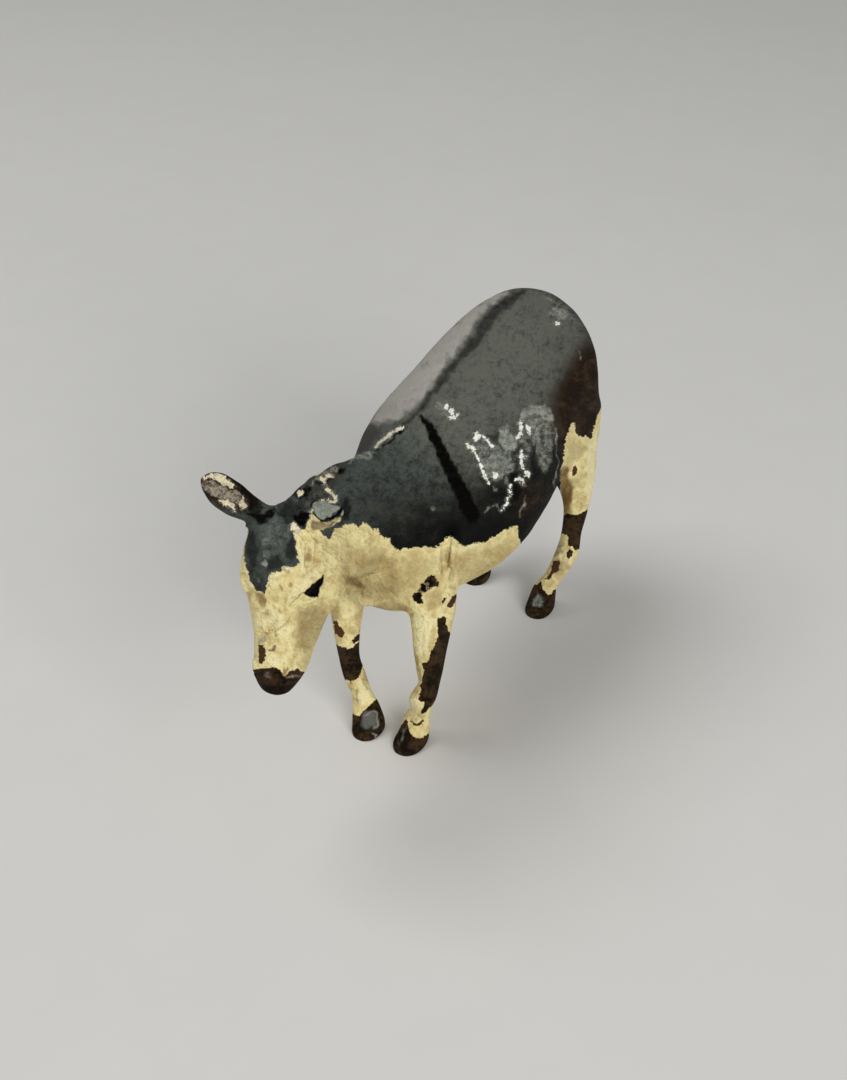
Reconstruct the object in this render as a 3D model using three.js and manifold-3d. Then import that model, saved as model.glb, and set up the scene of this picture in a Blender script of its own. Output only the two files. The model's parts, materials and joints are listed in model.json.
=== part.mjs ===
// A lead donkey figure of the 54 mm farm-animal scale: hollow body casting with a soldered head, legs, ears and tail.
// Lengths are millimetres. +X is the way the donkey faces, +Y its left side, +Z up, and the hooves stand on Z = 0.
import * as THREE from 'three';
import { mergeVertices } from 'three/addons/utils/BufferGeometryUtils.js';
import Module from 'manifold-3d';

// Barrel of the body, in cross sections from rump to chest
const barrel = [
  { x: -24.0, top: 32.6, widest: 31.0, bottom: 29.4, halfWidth: 0.8 },
  { x: -23.6, top: 35.0, widest: 30.4, bottom: 26.8, halfWidth: 2.9 },
  { x: -22.3, top: 37.5, widest: 29.6, bottom: 23.0, halfWidth: 6.4 },
  { x: -19.0, top: 39.3, widest: 29.0, bottom: 20.6, halfWidth: 8.3 },
  { x: -12.0, top: 39.65, widest: 27.6, bottom: 17.9, halfWidth: 8.9 },
  { x: -5.0, top: 38.2, widest: 25.6, bottom: 15.9, halfWidth: 9.5 },
  { x: 2.0, top: 36.6, widest: 24.8, bottom: 15.6, halfWidth: 9.6 },
  { x: 8.0, top: 35.4, widest: 25.2, bottom: 15.8, halfWidth: 7.5 },
  { x: 13.0, top: 33.4, widest: 25.4, bottom: 16.5, halfWidth: 5.5 },
  { x: 16.8, top: 31.0, widest: 25.5, bottom: 19.4, halfWidth: 4.2 },
  { x: 18.6, top: 28.0, widest: 25.8, bottom: 23.3, halfWidth: 1.5 },
  { x: 18.9, top: 26.8, widest: 25.8, bottom: 24.8, halfWidth: 0.6 },
];
const backSquareness = 2.0;
const bellySquareness = 2.4;

// Slush-cast hollow, drained through the neck
const wallThickness = 1.6;
const hollowRear = -18.5;
const hollowFront = 9.0;

// Neck, in upright cross sections from the shoulders to the poll
const neck = [
  { x: 3.0, level: 28.0, above: 7.2, below: 8.0, halfWidth: 4.4 },
  { x: 9.0, level: 28.8, above: 6.6, below: 8.2, halfWidth: 4.0 },
  { x: 14.5, level: 29.8, above: 6.0, below: 7.0, halfWidth: 3.7 },
  { x: 20.0, level: 30.8, above: 6.1, below: 6.0, halfWidth: 3.6 },
  { x: 25.5, level: 31.4, above: 6.5, below: 5.4, halfWidth: 3.3 },
  { x: 30.0, level: 31.8, above: 5.7, below: 4.6, halfWidth: 2.8 },
];
const crestSquareness = 1.7;
const throatSquareness = 2.1;
const neckJointX = 22.0;

// Head, in cross sections measured along the face from poll to lips
const head = [
  { along: -0.2, front: 1.2, back: 1.2, halfWidth: 1.2 },
  { along: 1.0, front: 2.4, back: 3.6, halfWidth: 2.8 },
  { along: 3.5, front: 3.1, back: 6.2, halfWidth: 3.35 },
  { along: 5.8, front: 3.2, back: 8.0, halfWidth: 3.5 },
  { along: 8.7, front: 2.8, back: 10.8, halfWidth: 2.75 },
  { along: 11.5, front: 2.4, back: 9.2, halfWidth: 2.15 },
  { along: 14.0, front: 2.2, back: 6.5, halfWidth: 2.05 },
  { along: 15.9, front: 2.0, back: 4.6, halfWidth: 2.0 },
  { along: 17.2, front: 1.4, back: 2.6, halfWidth: 1.5 },
  { along: 17.8, front: 0.6, back: 0.8, halfWidth: 0.6 },
];
const headSquareness = 2.1;
const poll = new THREE.Vector3(30.6, -0.1, 37.2);
const faceSlopeDegrees = 10;
const headTurnDegrees = 2;

// Ears: one whole leaf on the right, a broken root on the left
const rightEar = {
  root: new THREE.Vector3(30.4, -2.2, 35.9),
  tip: new THREE.Vector3(28.4, -10.2, 36.65),
  opening: new THREE.Vector3(1.0, 0.0, 0.5),
  leaf: [
    { along: 0.0, halfWidth: 1.0, halfThickness: 0.8 },
    { along: 1.7, halfWidth: 1.1, halfThickness: 0.8 },
    { along: 4.6, halfWidth: 1.55, halfThickness: 0.7 },
    { along: 6.6, halfWidth: 1.5, halfThickness: 0.6 },
    { along: 8.0, halfWidth: 0.95, halfThickness: 0.5 },
    { along: 8.6, halfWidth: 0.3, halfThickness: 0.3 },
  ],
};
const leftEar = {
  root: new THREE.Vector3(27.0, 1.55, 35.1),
  tip: new THREE.Vector3(27.6, 2.5, 36.8),
  opening: new THREE.Vector3(0.755, 0.418, -0.5),
  leaf: [
    { along: 0.0, halfWidth: 1.6, halfThickness: 1.05 },
    { along: 1.6, halfWidth: 1.5, halfThickness: 0.95 },
    { along: 2.04, halfWidth: 1.35, halfThickness: 0.8 },
  ],
};
const earSpigotShare = 0.7;

// Legs, in level cross sections from the sole up into the body; left and right stride differently below their tops
const shoulder = [
  { z: 19.0, rear: 9.5, front: 15.5, y: 5.0, halfWidth: 2.1 },
  { z: 25.0, rear: 8.5, front: 14.4, y: 3.8, halfWidth: 1.9 },
  { z: 28.0, rear: 8.8, front: 12.4, y: 3.2, halfWidth: 1.1 },
  { z: 29.0, rear: 9.8, front: 11.2, y: 3.0, halfWidth: 0.4 },
];
const thigh = [
  { z: 21.0, rear: -23.1, front: -12.9, y: 5.8, halfWidth: 2.6 },
  { z: 26.0, rear: -23.8, front: -12.3, y: 5.2, halfWidth: 3.2 },
  { z: 30.0, rear: -21.5, front: -13.0, y: 4.4, halfWidth: 2.4 },
  { z: 31.5, rear: -18.5, front: -15.5, y: 4.0, halfWidth: 0.8 },
];
const frontLeftLeg = [
  { z: 0.0, rear: 11.0, front: 15.6, y: 2.75, halfWidth: 1.65 },
  { z: 1.2, rear: 11.0, front: 14.1, y: 2.8, halfWidth: 1.6 },
  { z: 2.6, rear: 11.2, front: 12.9, y: 2.85, halfWidth: 1.4 },
  { z: 4.2, rear: 11.4, front: 13.2, y: 3.45, halfWidth: 1.15 },
  { z: 6.2, rear: 11.1, front: 14.1, y: 3.9, halfWidth: 1.35 },
  { z: 8.5, rear: 11.7, front: 13.9, y: 4.7, halfWidth: 1.1 },
  { z: 11.0, rear: 11.6, front: 14.75, y: 5.0, halfWidth: 1.35 },
  { z: 15.0, rear: 11.0, front: 15.3, y: 5.15, halfWidth: 1.8 },
  ...shoulder,
];
const frontRightLeg = [
  { z: 0.0, rear: 11.6, front: 15.6, y: 2.3, halfWidth: 1.55 },
  { z: 1.2, rear: 11.4, front: 15.1, y: 2.5, halfWidth: 1.6 },
  { z: 3.0, rear: 11.6, front: 13.9, y: 3.15, halfWidth: 1.4 },
  { z: 4.2, rear: 11.6, front: 13.6, y: 3.75, halfWidth: 1.15 },
  { z: 6.2, rear: 11.5, front: 13.8, y: 4.55, halfWidth: 1.2 },
  { z: 8.5, rear: 11.8, front: 13.8, y: 5.0, halfWidth: 1.1 },
  { z: 11.0, rear: 11.7, front: 14.5, y: 4.95, halfWidth: 1.2 },
  { z: 15.0, rear: 11.0, front: 15.3, y: 4.85, halfWidth: 1.5 },
  ...shoulder,
];
const hindLeftLeg = [
  { z: 0.0, rear: -17.9, front: -13.8, y: 4.05, halfWidth: 1.55 },
  { z: 1.2, rear: -18.1, front: -14.3, y: 4.05, halfWidth: 1.55 },
  { z: 3.0, rear: -18.0, front: -15.2, y: 4.35, halfWidth: 1.35 },
  { z: 4.2, rear: -18.6, front: -16.7, y: 4.95, halfWidth: 1.15 },
  { z: 6.5, rear: -20.2, front: -17.5, y: 5.75, halfWidth: 1.35 },
  { z: 10.0, rear: -20.6, front: -18.0, y: 6.2, halfWidth: 1.15 },
  { z: 14.0, rear: -21.9, front: -17.7, y: 6.4, halfWidth: 1.45 },
  { z: 17.0, rear: -22.7, front: -16.3, y: 6.2, halfWidth: 1.9 },
  ...thigh,
];
const hindRightLeg = [
  { z: 0.0, rear: -20.3, front: -16.5, y: 5.75, halfWidth: 1.55 },
  { z: 1.2, rear: -20.4, front: -16.7, y: 5.75, halfWidth: 1.55 },
  { z: 3.0, rear: -20.3, front: -17.3, y: 5.9, halfWidth: 1.35 },
  { z: 4.2, rear: -20.6, front: -18.2, y: 6.2, halfWidth: 1.15 },
  { z: 6.5, rear: -21.4, front: -18.6, y: 6.5, halfWidth: 1.3 },
  { z: 10.0, rear: -21.9, front: -19.4, y: 6.7, halfWidth: 1.15 },
  { z: 14.0, rear: -22.8, front: -19.1, y: 6.6, halfWidth: 1.45 },
  { z: 17.0, rear: -23.1, front: -17.7, y: 6.2, halfWidth: 1.9 },
  ...thigh,
];
const legSquareness = 2.2;
const frontJointHeight = 14.6;
const hindJointHeight = 14.6;

// Tail, in cross sections along its middle line, hanging close behind the rump
const tail = [
  { x: -21.6, z: 35.6, radius: 1.0 },
  { x: -23.6, z: 35.2, radius: 1.0 },
  { x: -24.9, z: 33.0, radius: 0.9 },
  { x: -25.3, z: 28.5, radius: 0.8 },
  { x: -25.3, z: 24.0, radius: 0.9 },
  { x: -25.2, z: 20.0, radius: 1.1 },
  { x: -25.1, z: 17.5, radius: 0.5 },
];

// Soldered spigot joints
const legSpigotRadius = 0.8;
const legSpigotLength = 3.0;
const headSpigotRadius = 1.75;
const headSpigotLength = 4.0;
const earSpigotRadius = 0.45;
const earSpigotLength = 1.6;
const tailSpigotRadius = 0.45;
const tailSpigotLength = 1.8;
const legSolder = 0.25;
const headSolder = 0.35;
const smallSolder = 0.2;
const fitClearance = 0.05;
const endClearance = 0.15;
const seatGap = 0.3;

// Facets
const barrelRings = 26;
const neckRings = 12;
const headRings = 20;
const legRings = 26;
const earRings = 11;
const tailRings = 15;
const bodySides = 28;
const limbSides = 16;
const earSides = 14;
const tailSides = 12;
const spigotSides = 12;

const wasm = await Module();
wasm.setup();

const alongX = new THREE.Vector3(1, 0, 0);
const alongY = new THREE.Vector3(0, 1, 0);
const alongZ = new THREE.Vector3(0, 0, 1);
const farAway = 500;

// Catmull-Rom curve through every named value of the stations, sampled at even steps.
function smooth(stations, rings) {
  const last = stations.length - 1;
  const station = (i) => stations[THREE.MathUtils.clamp(i, 0, last)];
  return Array.from({ length: rings }, (_, ring) => {
    const u = (ring / (rings - 1)) * last;
    const i = Math.min(Math.floor(u), last - 1);
    const t = u - i;
    const blend = (key) => {
      const [a, b, c, d] = [i - 1, i, i + 1, i + 2].map((n) => station(n)[key]);
      const cubic = 3 * b - a - 3 * c + d;
      const square = 2 * a - 5 * b + 4 * c - d;
      return b + 0.5 * t * (c - a + t * (square + t * cubic));
    };
    return Object.fromEntries(Object.keys(stations[0]).map((key) => [key, blend(key)]));
  });
}

// Values of the smoothed stations where one of them, such as the height, reaches a level.
function valuesAt(sections, key, level) {
  const next = sections.findIndex((section) => section[key] > level);
  const [low, high] = [sections[next - 1], sections[next]];
  const t = (level - low[key]) / (high[key] - low[key]);
  return Object.fromEntries(Object.keys(low).map((name) => [name, THREE.MathUtils.lerp(low[name], high[name], t)]));
}

// Closed skin over rings of points: section = { centre, side, up, halfWidth, above, below, squareAbove, squareBelow }.
function loft(sections, sides) {
  const points = [];
  const faces = [];
  const power = (value, squareness) => Math.sign(value) * Math.abs(value) ** (2 / squareness);
  for (const s of sections) {
    for (let k = 0; k < sides; k += 1) {
      const angle = (2 * Math.PI * k) / sides;
      const squareness = Math.sin(angle) > 0 ? s.squareAbove : s.squareBelow;
      const reach = Math.sin(angle) > 0 ? s.above : s.below;
      const point = s.centre.clone();
      point.addScaledVector(s.side, s.halfWidth * power(Math.cos(angle), squareness));
      point.addScaledVector(s.up, reach * power(Math.sin(angle), squareness));
      points.push(point);
    }
  }
  const lastRing = (sections.length - 1) * sides;
  points.push(sections[0].centre, sections[sections.length - 1].centre);
  for (let k = 0; k < sides; k += 1) {
    const next = (k + 1) % sides;
    for (let ring = 0; ring < lastRing; ring += sides) {
      faces.push(ring + k, ring + next, ring + sides + next, ring + k, ring + sides + next, ring + sides + k);
    }
    faces.push(points.length - 2, next, k, points.length - 1, lastRing + k, lastRing + next);
  }
  const first = sections[0];
  const along = sections[sections.length - 1].centre.clone().sub(first.centre);
  const turnsOut = first.side.clone().cross(first.up).dot(along) > 0;
  const geometry = new THREE.BufferGeometry().setFromPoints(points);
  geometry.setIndex(turnsOut ? faces : faces.reverse());
  return solid(geometry);
}

// Solids for joining and cutting, and back to plain geometry.
function solid(geometry) {
  const bare = geometry.clone();
  bare.deleteAttribute('normal');
  bare.deleteAttribute('uv');
  const merged = mergeVertices(bare);
  const vertProperties = new Float32Array(merged.attributes.position.array);
  const triVerts = new Uint32Array(merged.index.array);
  return new wasm.Manifold(new wasm.Mesh({ numProp: 3, vertProperties, triVerts }));
}

function surface(manifold) {
  const mesh = manifold.getMesh();
  const geometry = new THREE.BufferGeometry();
  geometry.setAttribute('position', new THREE.BufferAttribute(new Float32Array(mesh.vertProperties), 3));
  geometry.setIndex(new THREE.BufferAttribute(new Uint32Array(mesh.triVerts), 1));
  geometry.computeVertexNormals();
  return geometry;
}

// Everything on the far side of a plane square to one axis.
function beyond(axis, level) {
  const box = new THREE.BoxGeometry(farAway, farAway, farAway);
  const centre = axis.clone().multiplyScalar(level + farAway / 2);
  return solid(box.translate(centre.x, centre.y, centre.z));
}

// A joint is a place on the carrier's skin, the way into the carrier, and the spigot's sizes: its grip is the
// length inside its own piece, and its mouth clears the socket's way out.
function turned(geometry, joint, offset) {
  const turn = new THREE.Quaternion().setFromUnitVectors(alongY, joint.axis);
  const place = joint.at.clone().addScaledVector(joint.axis, offset);
  return geometry.applyQuaternion(turn).translate(place.x, place.y, place.z);
}

function rod(joint, radius, from, to) {
  const geometry = new THREE.CylinderGeometry(radius, radius, to - from, spigotSides);
  return solid(turned(geometry, joint, (from + to) / 2));
}

const spigot = (joint) => rod(joint, joint.radius, -joint.grip, joint.length);
const solderBore = (joint) => joint.radius + fitClearance;
const socketRadius = (joint) => solderBore(joint) + joint.solder + fitClearance;
const socket = (joint) => rod(joint, socketRadius(joint), -joint.mouth, joint.length + endClearance);

function solderSleeve(joint) {
  const [inner, outer] = [solderBore(joint), solderBore(joint) + joint.solder];
  const [start, end] = [endClearance, joint.length];
  const profile = [[inner, start], [outer, start], [outer, end], [inner, end], [inner, start]];
  const points = profile.map(([radius, height]) => new THREE.Vector2(radius, height));
  return solid(turned(new THREE.LatheGeometry(points, spigotSides), joint, 0));
}

// Barrel sections, moved out or in by the same distance all round.
const barrelSections = smooth(barrel, barrelRings);
function barrelSkin(sections, growth) {
  const last = sections.length - 1;
  return loft(sections.map((s, i) => ({
    centre: new THREE.Vector3(s.x + (i === 0 ? -growth : 0) + (i === last ? growth : 0), 0, s.widest),
    side: alongY,
    up: alongZ,
    halfWidth: s.halfWidth + growth,
    above: s.top - s.widest + growth,
    below: s.widest - s.bottom + growth,
    squareAbove: backSquareness,
    squareBelow: bellySquareness,
  })), bodySides);
}
const barrelSolid = barrelSkin(barrelSections, 0);
const barrelSeat = barrelSkin(barrelSections, seatGap);

// Neck, parted by an upright plane into the body's part and the head's part.
const neckSections = smooth(neck, neckRings);
function neckSkin(growth) {
  return loft(neckSections.map((s) => ({
    centre: new THREE.Vector3(s.x, 0, s.level),
    side: alongY,
    up: alongZ,
    halfWidth: s.halfWidth + growth,
    above: s.above + growth,
    below: s.below + growth,
    squareAbove: crestSquareness,
    squareBelow: throatSquareness,
  })), bodySides);
}
const neckSolid = neckSkin(0);
const neckAtJoint = valuesAt(neckSections, 'x', neckJointX);
const headJoint = {
  at: new THREE.Vector3(neckJointX, 0, neckAtJoint.level),
  axis: alongX.clone().negate(),
  radius: headSpigotRadius,
  length: headSpigotLength,
  grip: headSpigotLength,
  solder: headSolder,
  mouth: endClearance,
};

// Head axes: the face slopes forward as it goes down, and turns a little to one side.
const turnAngle = THREE.MathUtils.degToRad(headTurnDegrees);
const slopeAngle = THREE.MathUtils.degToRad(faceSlopeDegrees);
const facing = new THREE.Vector3(Math.cos(turnAngle), Math.sin(turnAngle), 0);
const headSide = new THREE.Vector3(-Math.sin(turnAngle), Math.cos(turnAngle), 0);
const downFace = facing.clone().multiplyScalar(Math.sin(slopeAngle)).addScaledVector(alongZ, -Math.cos(slopeAngle));
const outOfFace = facing.clone().multiplyScalar(Math.cos(slopeAngle)).addScaledVector(alongZ, Math.sin(slopeAngle));
function headSkin(growth) {
  return loft(smooth(head, headRings).map((s) => ({
    centre: poll.clone().addScaledVector(downFace, s.along),
    side: headSide,
    up: outOfFace,
    halfWidth: s.halfWidth + growth,
    above: s.front + growth,
    below: s.back + growth,
    squareAbove: headSquareness,
    squareBelow: headSquareness,
  })), bodySides);
}
const neckSeat = beyond(alongX, neckJointX);

// An ear is a leaf from root to tip, cut back to the head and let into it by a spigot.
function earJoint(ear) {
  const inward = ear.root.clone().sub(ear.tip).normalize();
  return {
    at: ear.root,
    axis: inward,
    radius: earSpigotRadius,
    length: earSpigotLength,
    grip: Math.min(earSpigotLength, earSpigotShare * ear.root.distanceTo(ear.tip)),
    solder: smallSolder,
    mouth: ear.root.distanceTo(ear.tip),
  };
}
function earLeaf(ear) {
  const outward = ear.tip.clone().sub(ear.root).normalize();
  const opening = ear.opening.clone().addScaledVector(outward, -ear.opening.dot(outward)).normalize();
  const across = outward.clone().cross(opening);
  return loft(smooth(ear.leaf, earRings).map((s) => ({
    centre: ear.root.clone().addScaledVector(outward, s.along),
    side: across,
    up: opening,
    halfWidth: s.halfWidth,
    above: s.halfThickness,
    below: s.halfThickness,
    squareAbove: 2,
    squareBelow: 2,
  })), earSides);
}
const rightEarJoint = earJoint(rightEar);
const leftEarJoint = earJoint(leftEar);

// Legs: the stations give the distance from the middle plane, and the side says which way it goes.
function legSolid(sections) {
  return loft(sections.map((s) => ({
    centre: new THREE.Vector3((s.rear + s.front) / 2, s.y, s.z),
    side: alongY,
    up: alongX,
    halfWidth: s.halfWidth,
    above: (s.front - s.rear) / 2,
    below: (s.front - s.rear) / 2,
    squareAbove: legSquareness,
    squareBelow: legSquareness,
  })), limbSides);
}
function leg(name, stations, side, jointHeight) {
  const sections = smooth(stations, legRings).map((s) => ({ ...s, y: side * s.y }));
  const whole = legSolid(sections);
  const upper = beyond(alongZ, jointHeight);
  const top = valuesAt(sections, 'z', jointHeight);
  const joint = {
    at: new THREE.Vector3((top.rear + top.front) / 2, top.y, jointHeight),
    axis: alongZ,
    radius: legSpigotRadius,
    length: legSpigotLength,
    grip: legSpigotLength,
    solder: legSolder,
    mouth: endClearance,
  };
  const casting = whole.subtract(upper).subtract(barrelSeat).add(spigot(joint));
  return { name, joint, casting, haunch: whole.intersect(upper) };
}
const legs = [
  leg('front_left_leg', frontLeftLeg, 1, frontJointHeight),
  leg('front_right_leg', frontRightLeg, -1, frontJointHeight),
  leg('hind_left_leg', hindLeftLeg, 1, hindJointHeight),
  leg('hind_right_leg', hindRightLeg, -1, hindJointHeight),
];

// Tail, bent down behind the rump and let into it by a spigot.
const tailSections = smooth(tail, tailRings);
const dock = tail[1];
const rumpAtDock = valuesAt(barrelSections, 'top', dock.z + dock.radius);
const tailJoint = {
  at: new THREE.Vector3(rumpAtDock.x, 0, dock.z),
  axis: alongX,
  radius: tailSpigotRadius,
  length: tailSpigotLength,
  grip: rumpAtDock.x - dock.x,
  solder: smallSolder,
  mouth: rumpAtDock.x - dock.x + dock.radius,
};
const tailSkin = loft(tailSections.map((s, i) => {
  const before = tailSections[Math.max(i - 1, 0)];
  const after = tailSections[Math.min(i + 1, tailSections.length - 1)];
  const run = new THREE.Vector3(after.x - before.x, 0, after.z - before.z).normalize();
  return {
    centre: new THREE.Vector3(s.x, 0, s.z),
    side: alongY,
    up: run.cross(alongY),
    halfWidth: s.radius,
    above: s.radius,
    below: s.radius,
    squareAbove: 2,
    squareBelow: 2,
  };
}), tailSides);

// Castings
const hollowSections = barrelSections.filter((s) => s.x > hollowRear && s.x < hollowFront);
const hollowEnd = hollowSections[hollowSections.length - 1].x - wallThickness;
const drain = rod(headJoint, socketRadius(headJoint), -headJoint.mouth, neckJointX - hollowEnd + wallThickness);
let body = barrelSolid.add(neckSolid.subtract(neckSeat));
for (const { haunch } of legs) {
  body = body.add(haunch);
}
body = body.subtract(barrelSkin(hollowSections, -wallThickness)).subtract(drain).subtract(socket(tailJoint));
for (const { joint } of legs) {
  body = body.subtract(socket(joint));
}
const headSeat = headSkin(seatGap).add(neckSkin(seatGap));
const headCasting = headSkin(0)
  .add(neckSolid)
  .intersect(neckSeat)
  .subtract(socket(rightEarJoint))
  .subtract(socket(leftEarJoint))
  .add(spigot(headJoint));

// Finishes
const darkPaint = { color: 0x34343a, roughness: 0.5, metalness: 0.1 };
const creamPaint = { color: 0xcbb88a, roughness: 0.55, metalness: 0.0 };
const bareLead = { color: 0x7d7f84, roughness: 0.45, metalness: 0.8 };
const solderMetal = { color: 0xa6a8ab, roughness: 0.4, metalness: 0.9 };

const donkey = new THREE.Group();
function place(name, manifold, finish) {
  const mesh = new THREE.Mesh(surface(manifold), new THREE.MeshStandardMaterial(finish));
  mesh.name = name;
  donkey.add(mesh);
}
place('body', body, darkPaint);
place('head', headCasting, creamPaint);
place('head_solder', solderSleeve(headJoint), solderMetal);
for (const { name, casting, joint } of legs) {
  place(name, casting, creamPaint);
  place(`${name}_solder`, solderSleeve(joint), solderMetal);
}
place('right_ear', earLeaf(rightEar).subtract(headSeat).add(spigot(rightEarJoint)), darkPaint);
place('right_ear_solder', solderSleeve(rightEarJoint), solderMetal);
place('left_ear_stump', earLeaf(leftEar).subtract(headSeat).add(spigot(leftEarJoint)), bareLead);
place('left_ear_solder', solderSleeve(leftEarJoint), solderMetal);
place('tail', tailSkin.subtract(barrelSeat).add(spigot(tailJoint)), darkPaint);
place('tail_solder', solderSleeve(tailJoint), solderMetal);

// Origin under the middle of the figure, at the level of the soles.
const box = new THREE.Box3().setFromObject(donkey);
const middle = box.getCenter(new THREE.Vector3());
donkey.position.set(-middle.x, -middle.y, -box.min.z);
donkey.updateMatrixWorld(true);

export default donkey;
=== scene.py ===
# %% [markdown]
# # A lead donkey with worn paint
# The real thing is a toy farm animal the length of a thumb: lead castings soldered together and
# covered with thick enamel, charcoal on the back and cream below, with most of a century of knocks
# and dirt on it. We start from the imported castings, which give the frame and the size, and then
# give each casting a finer skin in the same place.

# %% Load the castings
import json
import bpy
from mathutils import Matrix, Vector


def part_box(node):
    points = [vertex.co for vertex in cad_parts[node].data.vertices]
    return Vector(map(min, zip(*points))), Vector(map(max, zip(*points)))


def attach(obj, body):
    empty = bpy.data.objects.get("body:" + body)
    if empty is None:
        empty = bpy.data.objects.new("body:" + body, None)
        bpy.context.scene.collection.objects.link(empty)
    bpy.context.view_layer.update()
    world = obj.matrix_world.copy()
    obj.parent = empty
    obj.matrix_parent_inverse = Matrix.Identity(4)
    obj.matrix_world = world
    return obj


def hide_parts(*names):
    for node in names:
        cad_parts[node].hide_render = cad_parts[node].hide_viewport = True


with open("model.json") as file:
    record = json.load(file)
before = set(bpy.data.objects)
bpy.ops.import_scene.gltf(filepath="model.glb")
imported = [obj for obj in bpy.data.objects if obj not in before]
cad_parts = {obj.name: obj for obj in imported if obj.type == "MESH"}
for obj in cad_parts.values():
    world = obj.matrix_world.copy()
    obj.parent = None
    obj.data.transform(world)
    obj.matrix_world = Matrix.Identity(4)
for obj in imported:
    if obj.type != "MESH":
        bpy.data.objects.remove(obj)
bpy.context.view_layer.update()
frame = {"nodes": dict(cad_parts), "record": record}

from types import SimpleNamespace

import bmesh
import bpy
import numpy as np
from mathutils import Vector

print("castings:", ", ".join(sorted(frame["nodes"])))

# %% [markdown]
# ## One ruler for everything
# Blender works in metres, but a toy of this size is easier to think about in millimetres. All
# shapes below are written in the millimetres of the drawing: x runs towards the nose, y to the
# animal's left, z up from the table. The neck joint and the leg joints are flat faces at known
# places, so the box of the body casting tells how far the drawing was shifted when it was packed.

# %% Millimetres of the drawing
millimetre = 0.001
neck_joint = 22.0
leg_joint = 14.6
body_low, body_high = (np.array(corner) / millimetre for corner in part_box("body"))
shift = np.array((body_high[0] - neck_joint, (body_low[1] + body_high[1]) / 2, 0.0))


def to_metres(points):
    """Drawing millimetres to the shared frame: add the shift, then scale."""
    return (np.asarray(points) + shift) * millimetre


print("drawing shifted by", shift.round(3), "mm")

# %% [markdown]
# ## The camera
# The photograph looks down on the animal from its front left. A camera this close shows strong
# perspective, so its distance matters as much as its direction. The lens follows from the focal
# length in pixels of the photograph.

# %% Camera
photo_height = 1080
focal_pixels = 1668.0
camera_distance = 174.6
camera_azimuth, camera_elevation = np.radians((28.96, 32.56))
looked_at = np.array((5.3, -0.11, 20.4))
to_camera = np.array((
    np.cos(camera_elevation) * np.cos(camera_azimuth),
    np.cos(camera_elevation) * np.sin(camera_azimuth),
    np.sin(camera_elevation)))
lens = bpy.data.cameras.new("photo_camera")
lens.sensor_fit = "VERTICAL"
lens.sensor_height = 24.0
lens.lens = lens.sensor_height * focal_pixels / photo_height
lens.clip_start = 0.005
camera = bpy.data.objects.new("photo_camera", lens)
camera.location = to_metres(looked_at + camera_distance * to_camera)
camera.rotation_euler = Vector(to_camera).to_track_quat("Z", "Y").to_euler()
bpy.context.scene.collection.objects.link(camera)
bpy.context.scene.camera = camera
print("lens", round(lens.lens, 2), "mm, camera at", np.round(camera.location, 4))

# %% [markdown]
# ## Profiles carried along paths
# A sculptor blocks an animal out as a few tubes: a barrel, a neck, a head, four legs. Each tube is
# a profile carried along a path, given here by a few stations that a smooth curve joins. The lead
# was poured into one carved mould for each casting, so where tubes meet there is a soft fillet, not
# a sharp line. Fillets between lofted grids are hard to stitch. So each tube is written as a
# distance instead, negative inside and positive outside: two distances blend into one with a soft
# minimum, and the skin is wherever the blend is zero.

# %% Curves through stations
curve_samples = 240


def smoothed(stations):
    """Catmull-Rom curve through the stations: each sample is the cubic blend of the four rows
    around it."""
    rows = np.asarray(stations, float)
    last = len(rows) - 1
    place = np.linspace(0, last, curve_samples)
    row = np.minimum(place.astype(int), last - 1)
    part = (place - row)[:, None]
    before, start, end, after = (rows[np.clip(row + step, 0, last)] for step in (-1, 0, 1, 2))
    cubic = 3 * start - before - 3 * end + after
    square = 2 * before - 5 * start + 4 * end - after
    return (start + 0.5 * part * (end - before + part * (square + part * cubic))).T


def read_along(stations, place):
    """First and last place of the curve, and its other columns at each place, straight between the
    samples."""
    places, *columns = smoothed(stations)
    return places[0], places[-1], [np.interp(place, places, column) for column in columns]


def oval_distance(across, half_width, upward, half_height, squareness):
    """Distance to a rounded oval: its norm less one, divided by the norm's slope; squareness 2 is
    an ellipse."""
    u = np.abs(across) / half_width
    v = np.abs(upward) / half_height
    norm = np.maximum((u ** squareness + v ** squareness) ** (1 / squareness), 1e-6)
    slope = norm ** (1 - squareness) * np.hypot(
        u ** (squareness - 1) / half_width, v ** (squareness - 1) / half_height)
    return (norm - 1) / np.maximum(slope, 1e-6)


def soft_union(first, second, fillet):
    """Smaller of two distances, with the corner between them filled over a width of one fillet."""
    share = np.clip(0.5 + 0.5 * (second - first) / fillet, 0, 1)
    return second + (first - second) * share - fillet * share * (1 - share)


def soft_cut(first, second, fillet):
    """First shape with the second taken out of it, with a rounded lip."""
    return -soft_union(-first, second, fillet)


print("a circle of radius 2 seen from 3 away:", oval_distance(3.0, 2.0, 0.0, 2.0, 2.0))

# %% [markdown]
# ## Barrel and neck
# The barrel's profile stands upright across the animal and is carried from rump to chest. It is
# widest below the middle, round over the back and fuller at the belly. The neck is carried nearly
# level, because this donkey droops its head, and its upper half is pinched into a crest.

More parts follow.
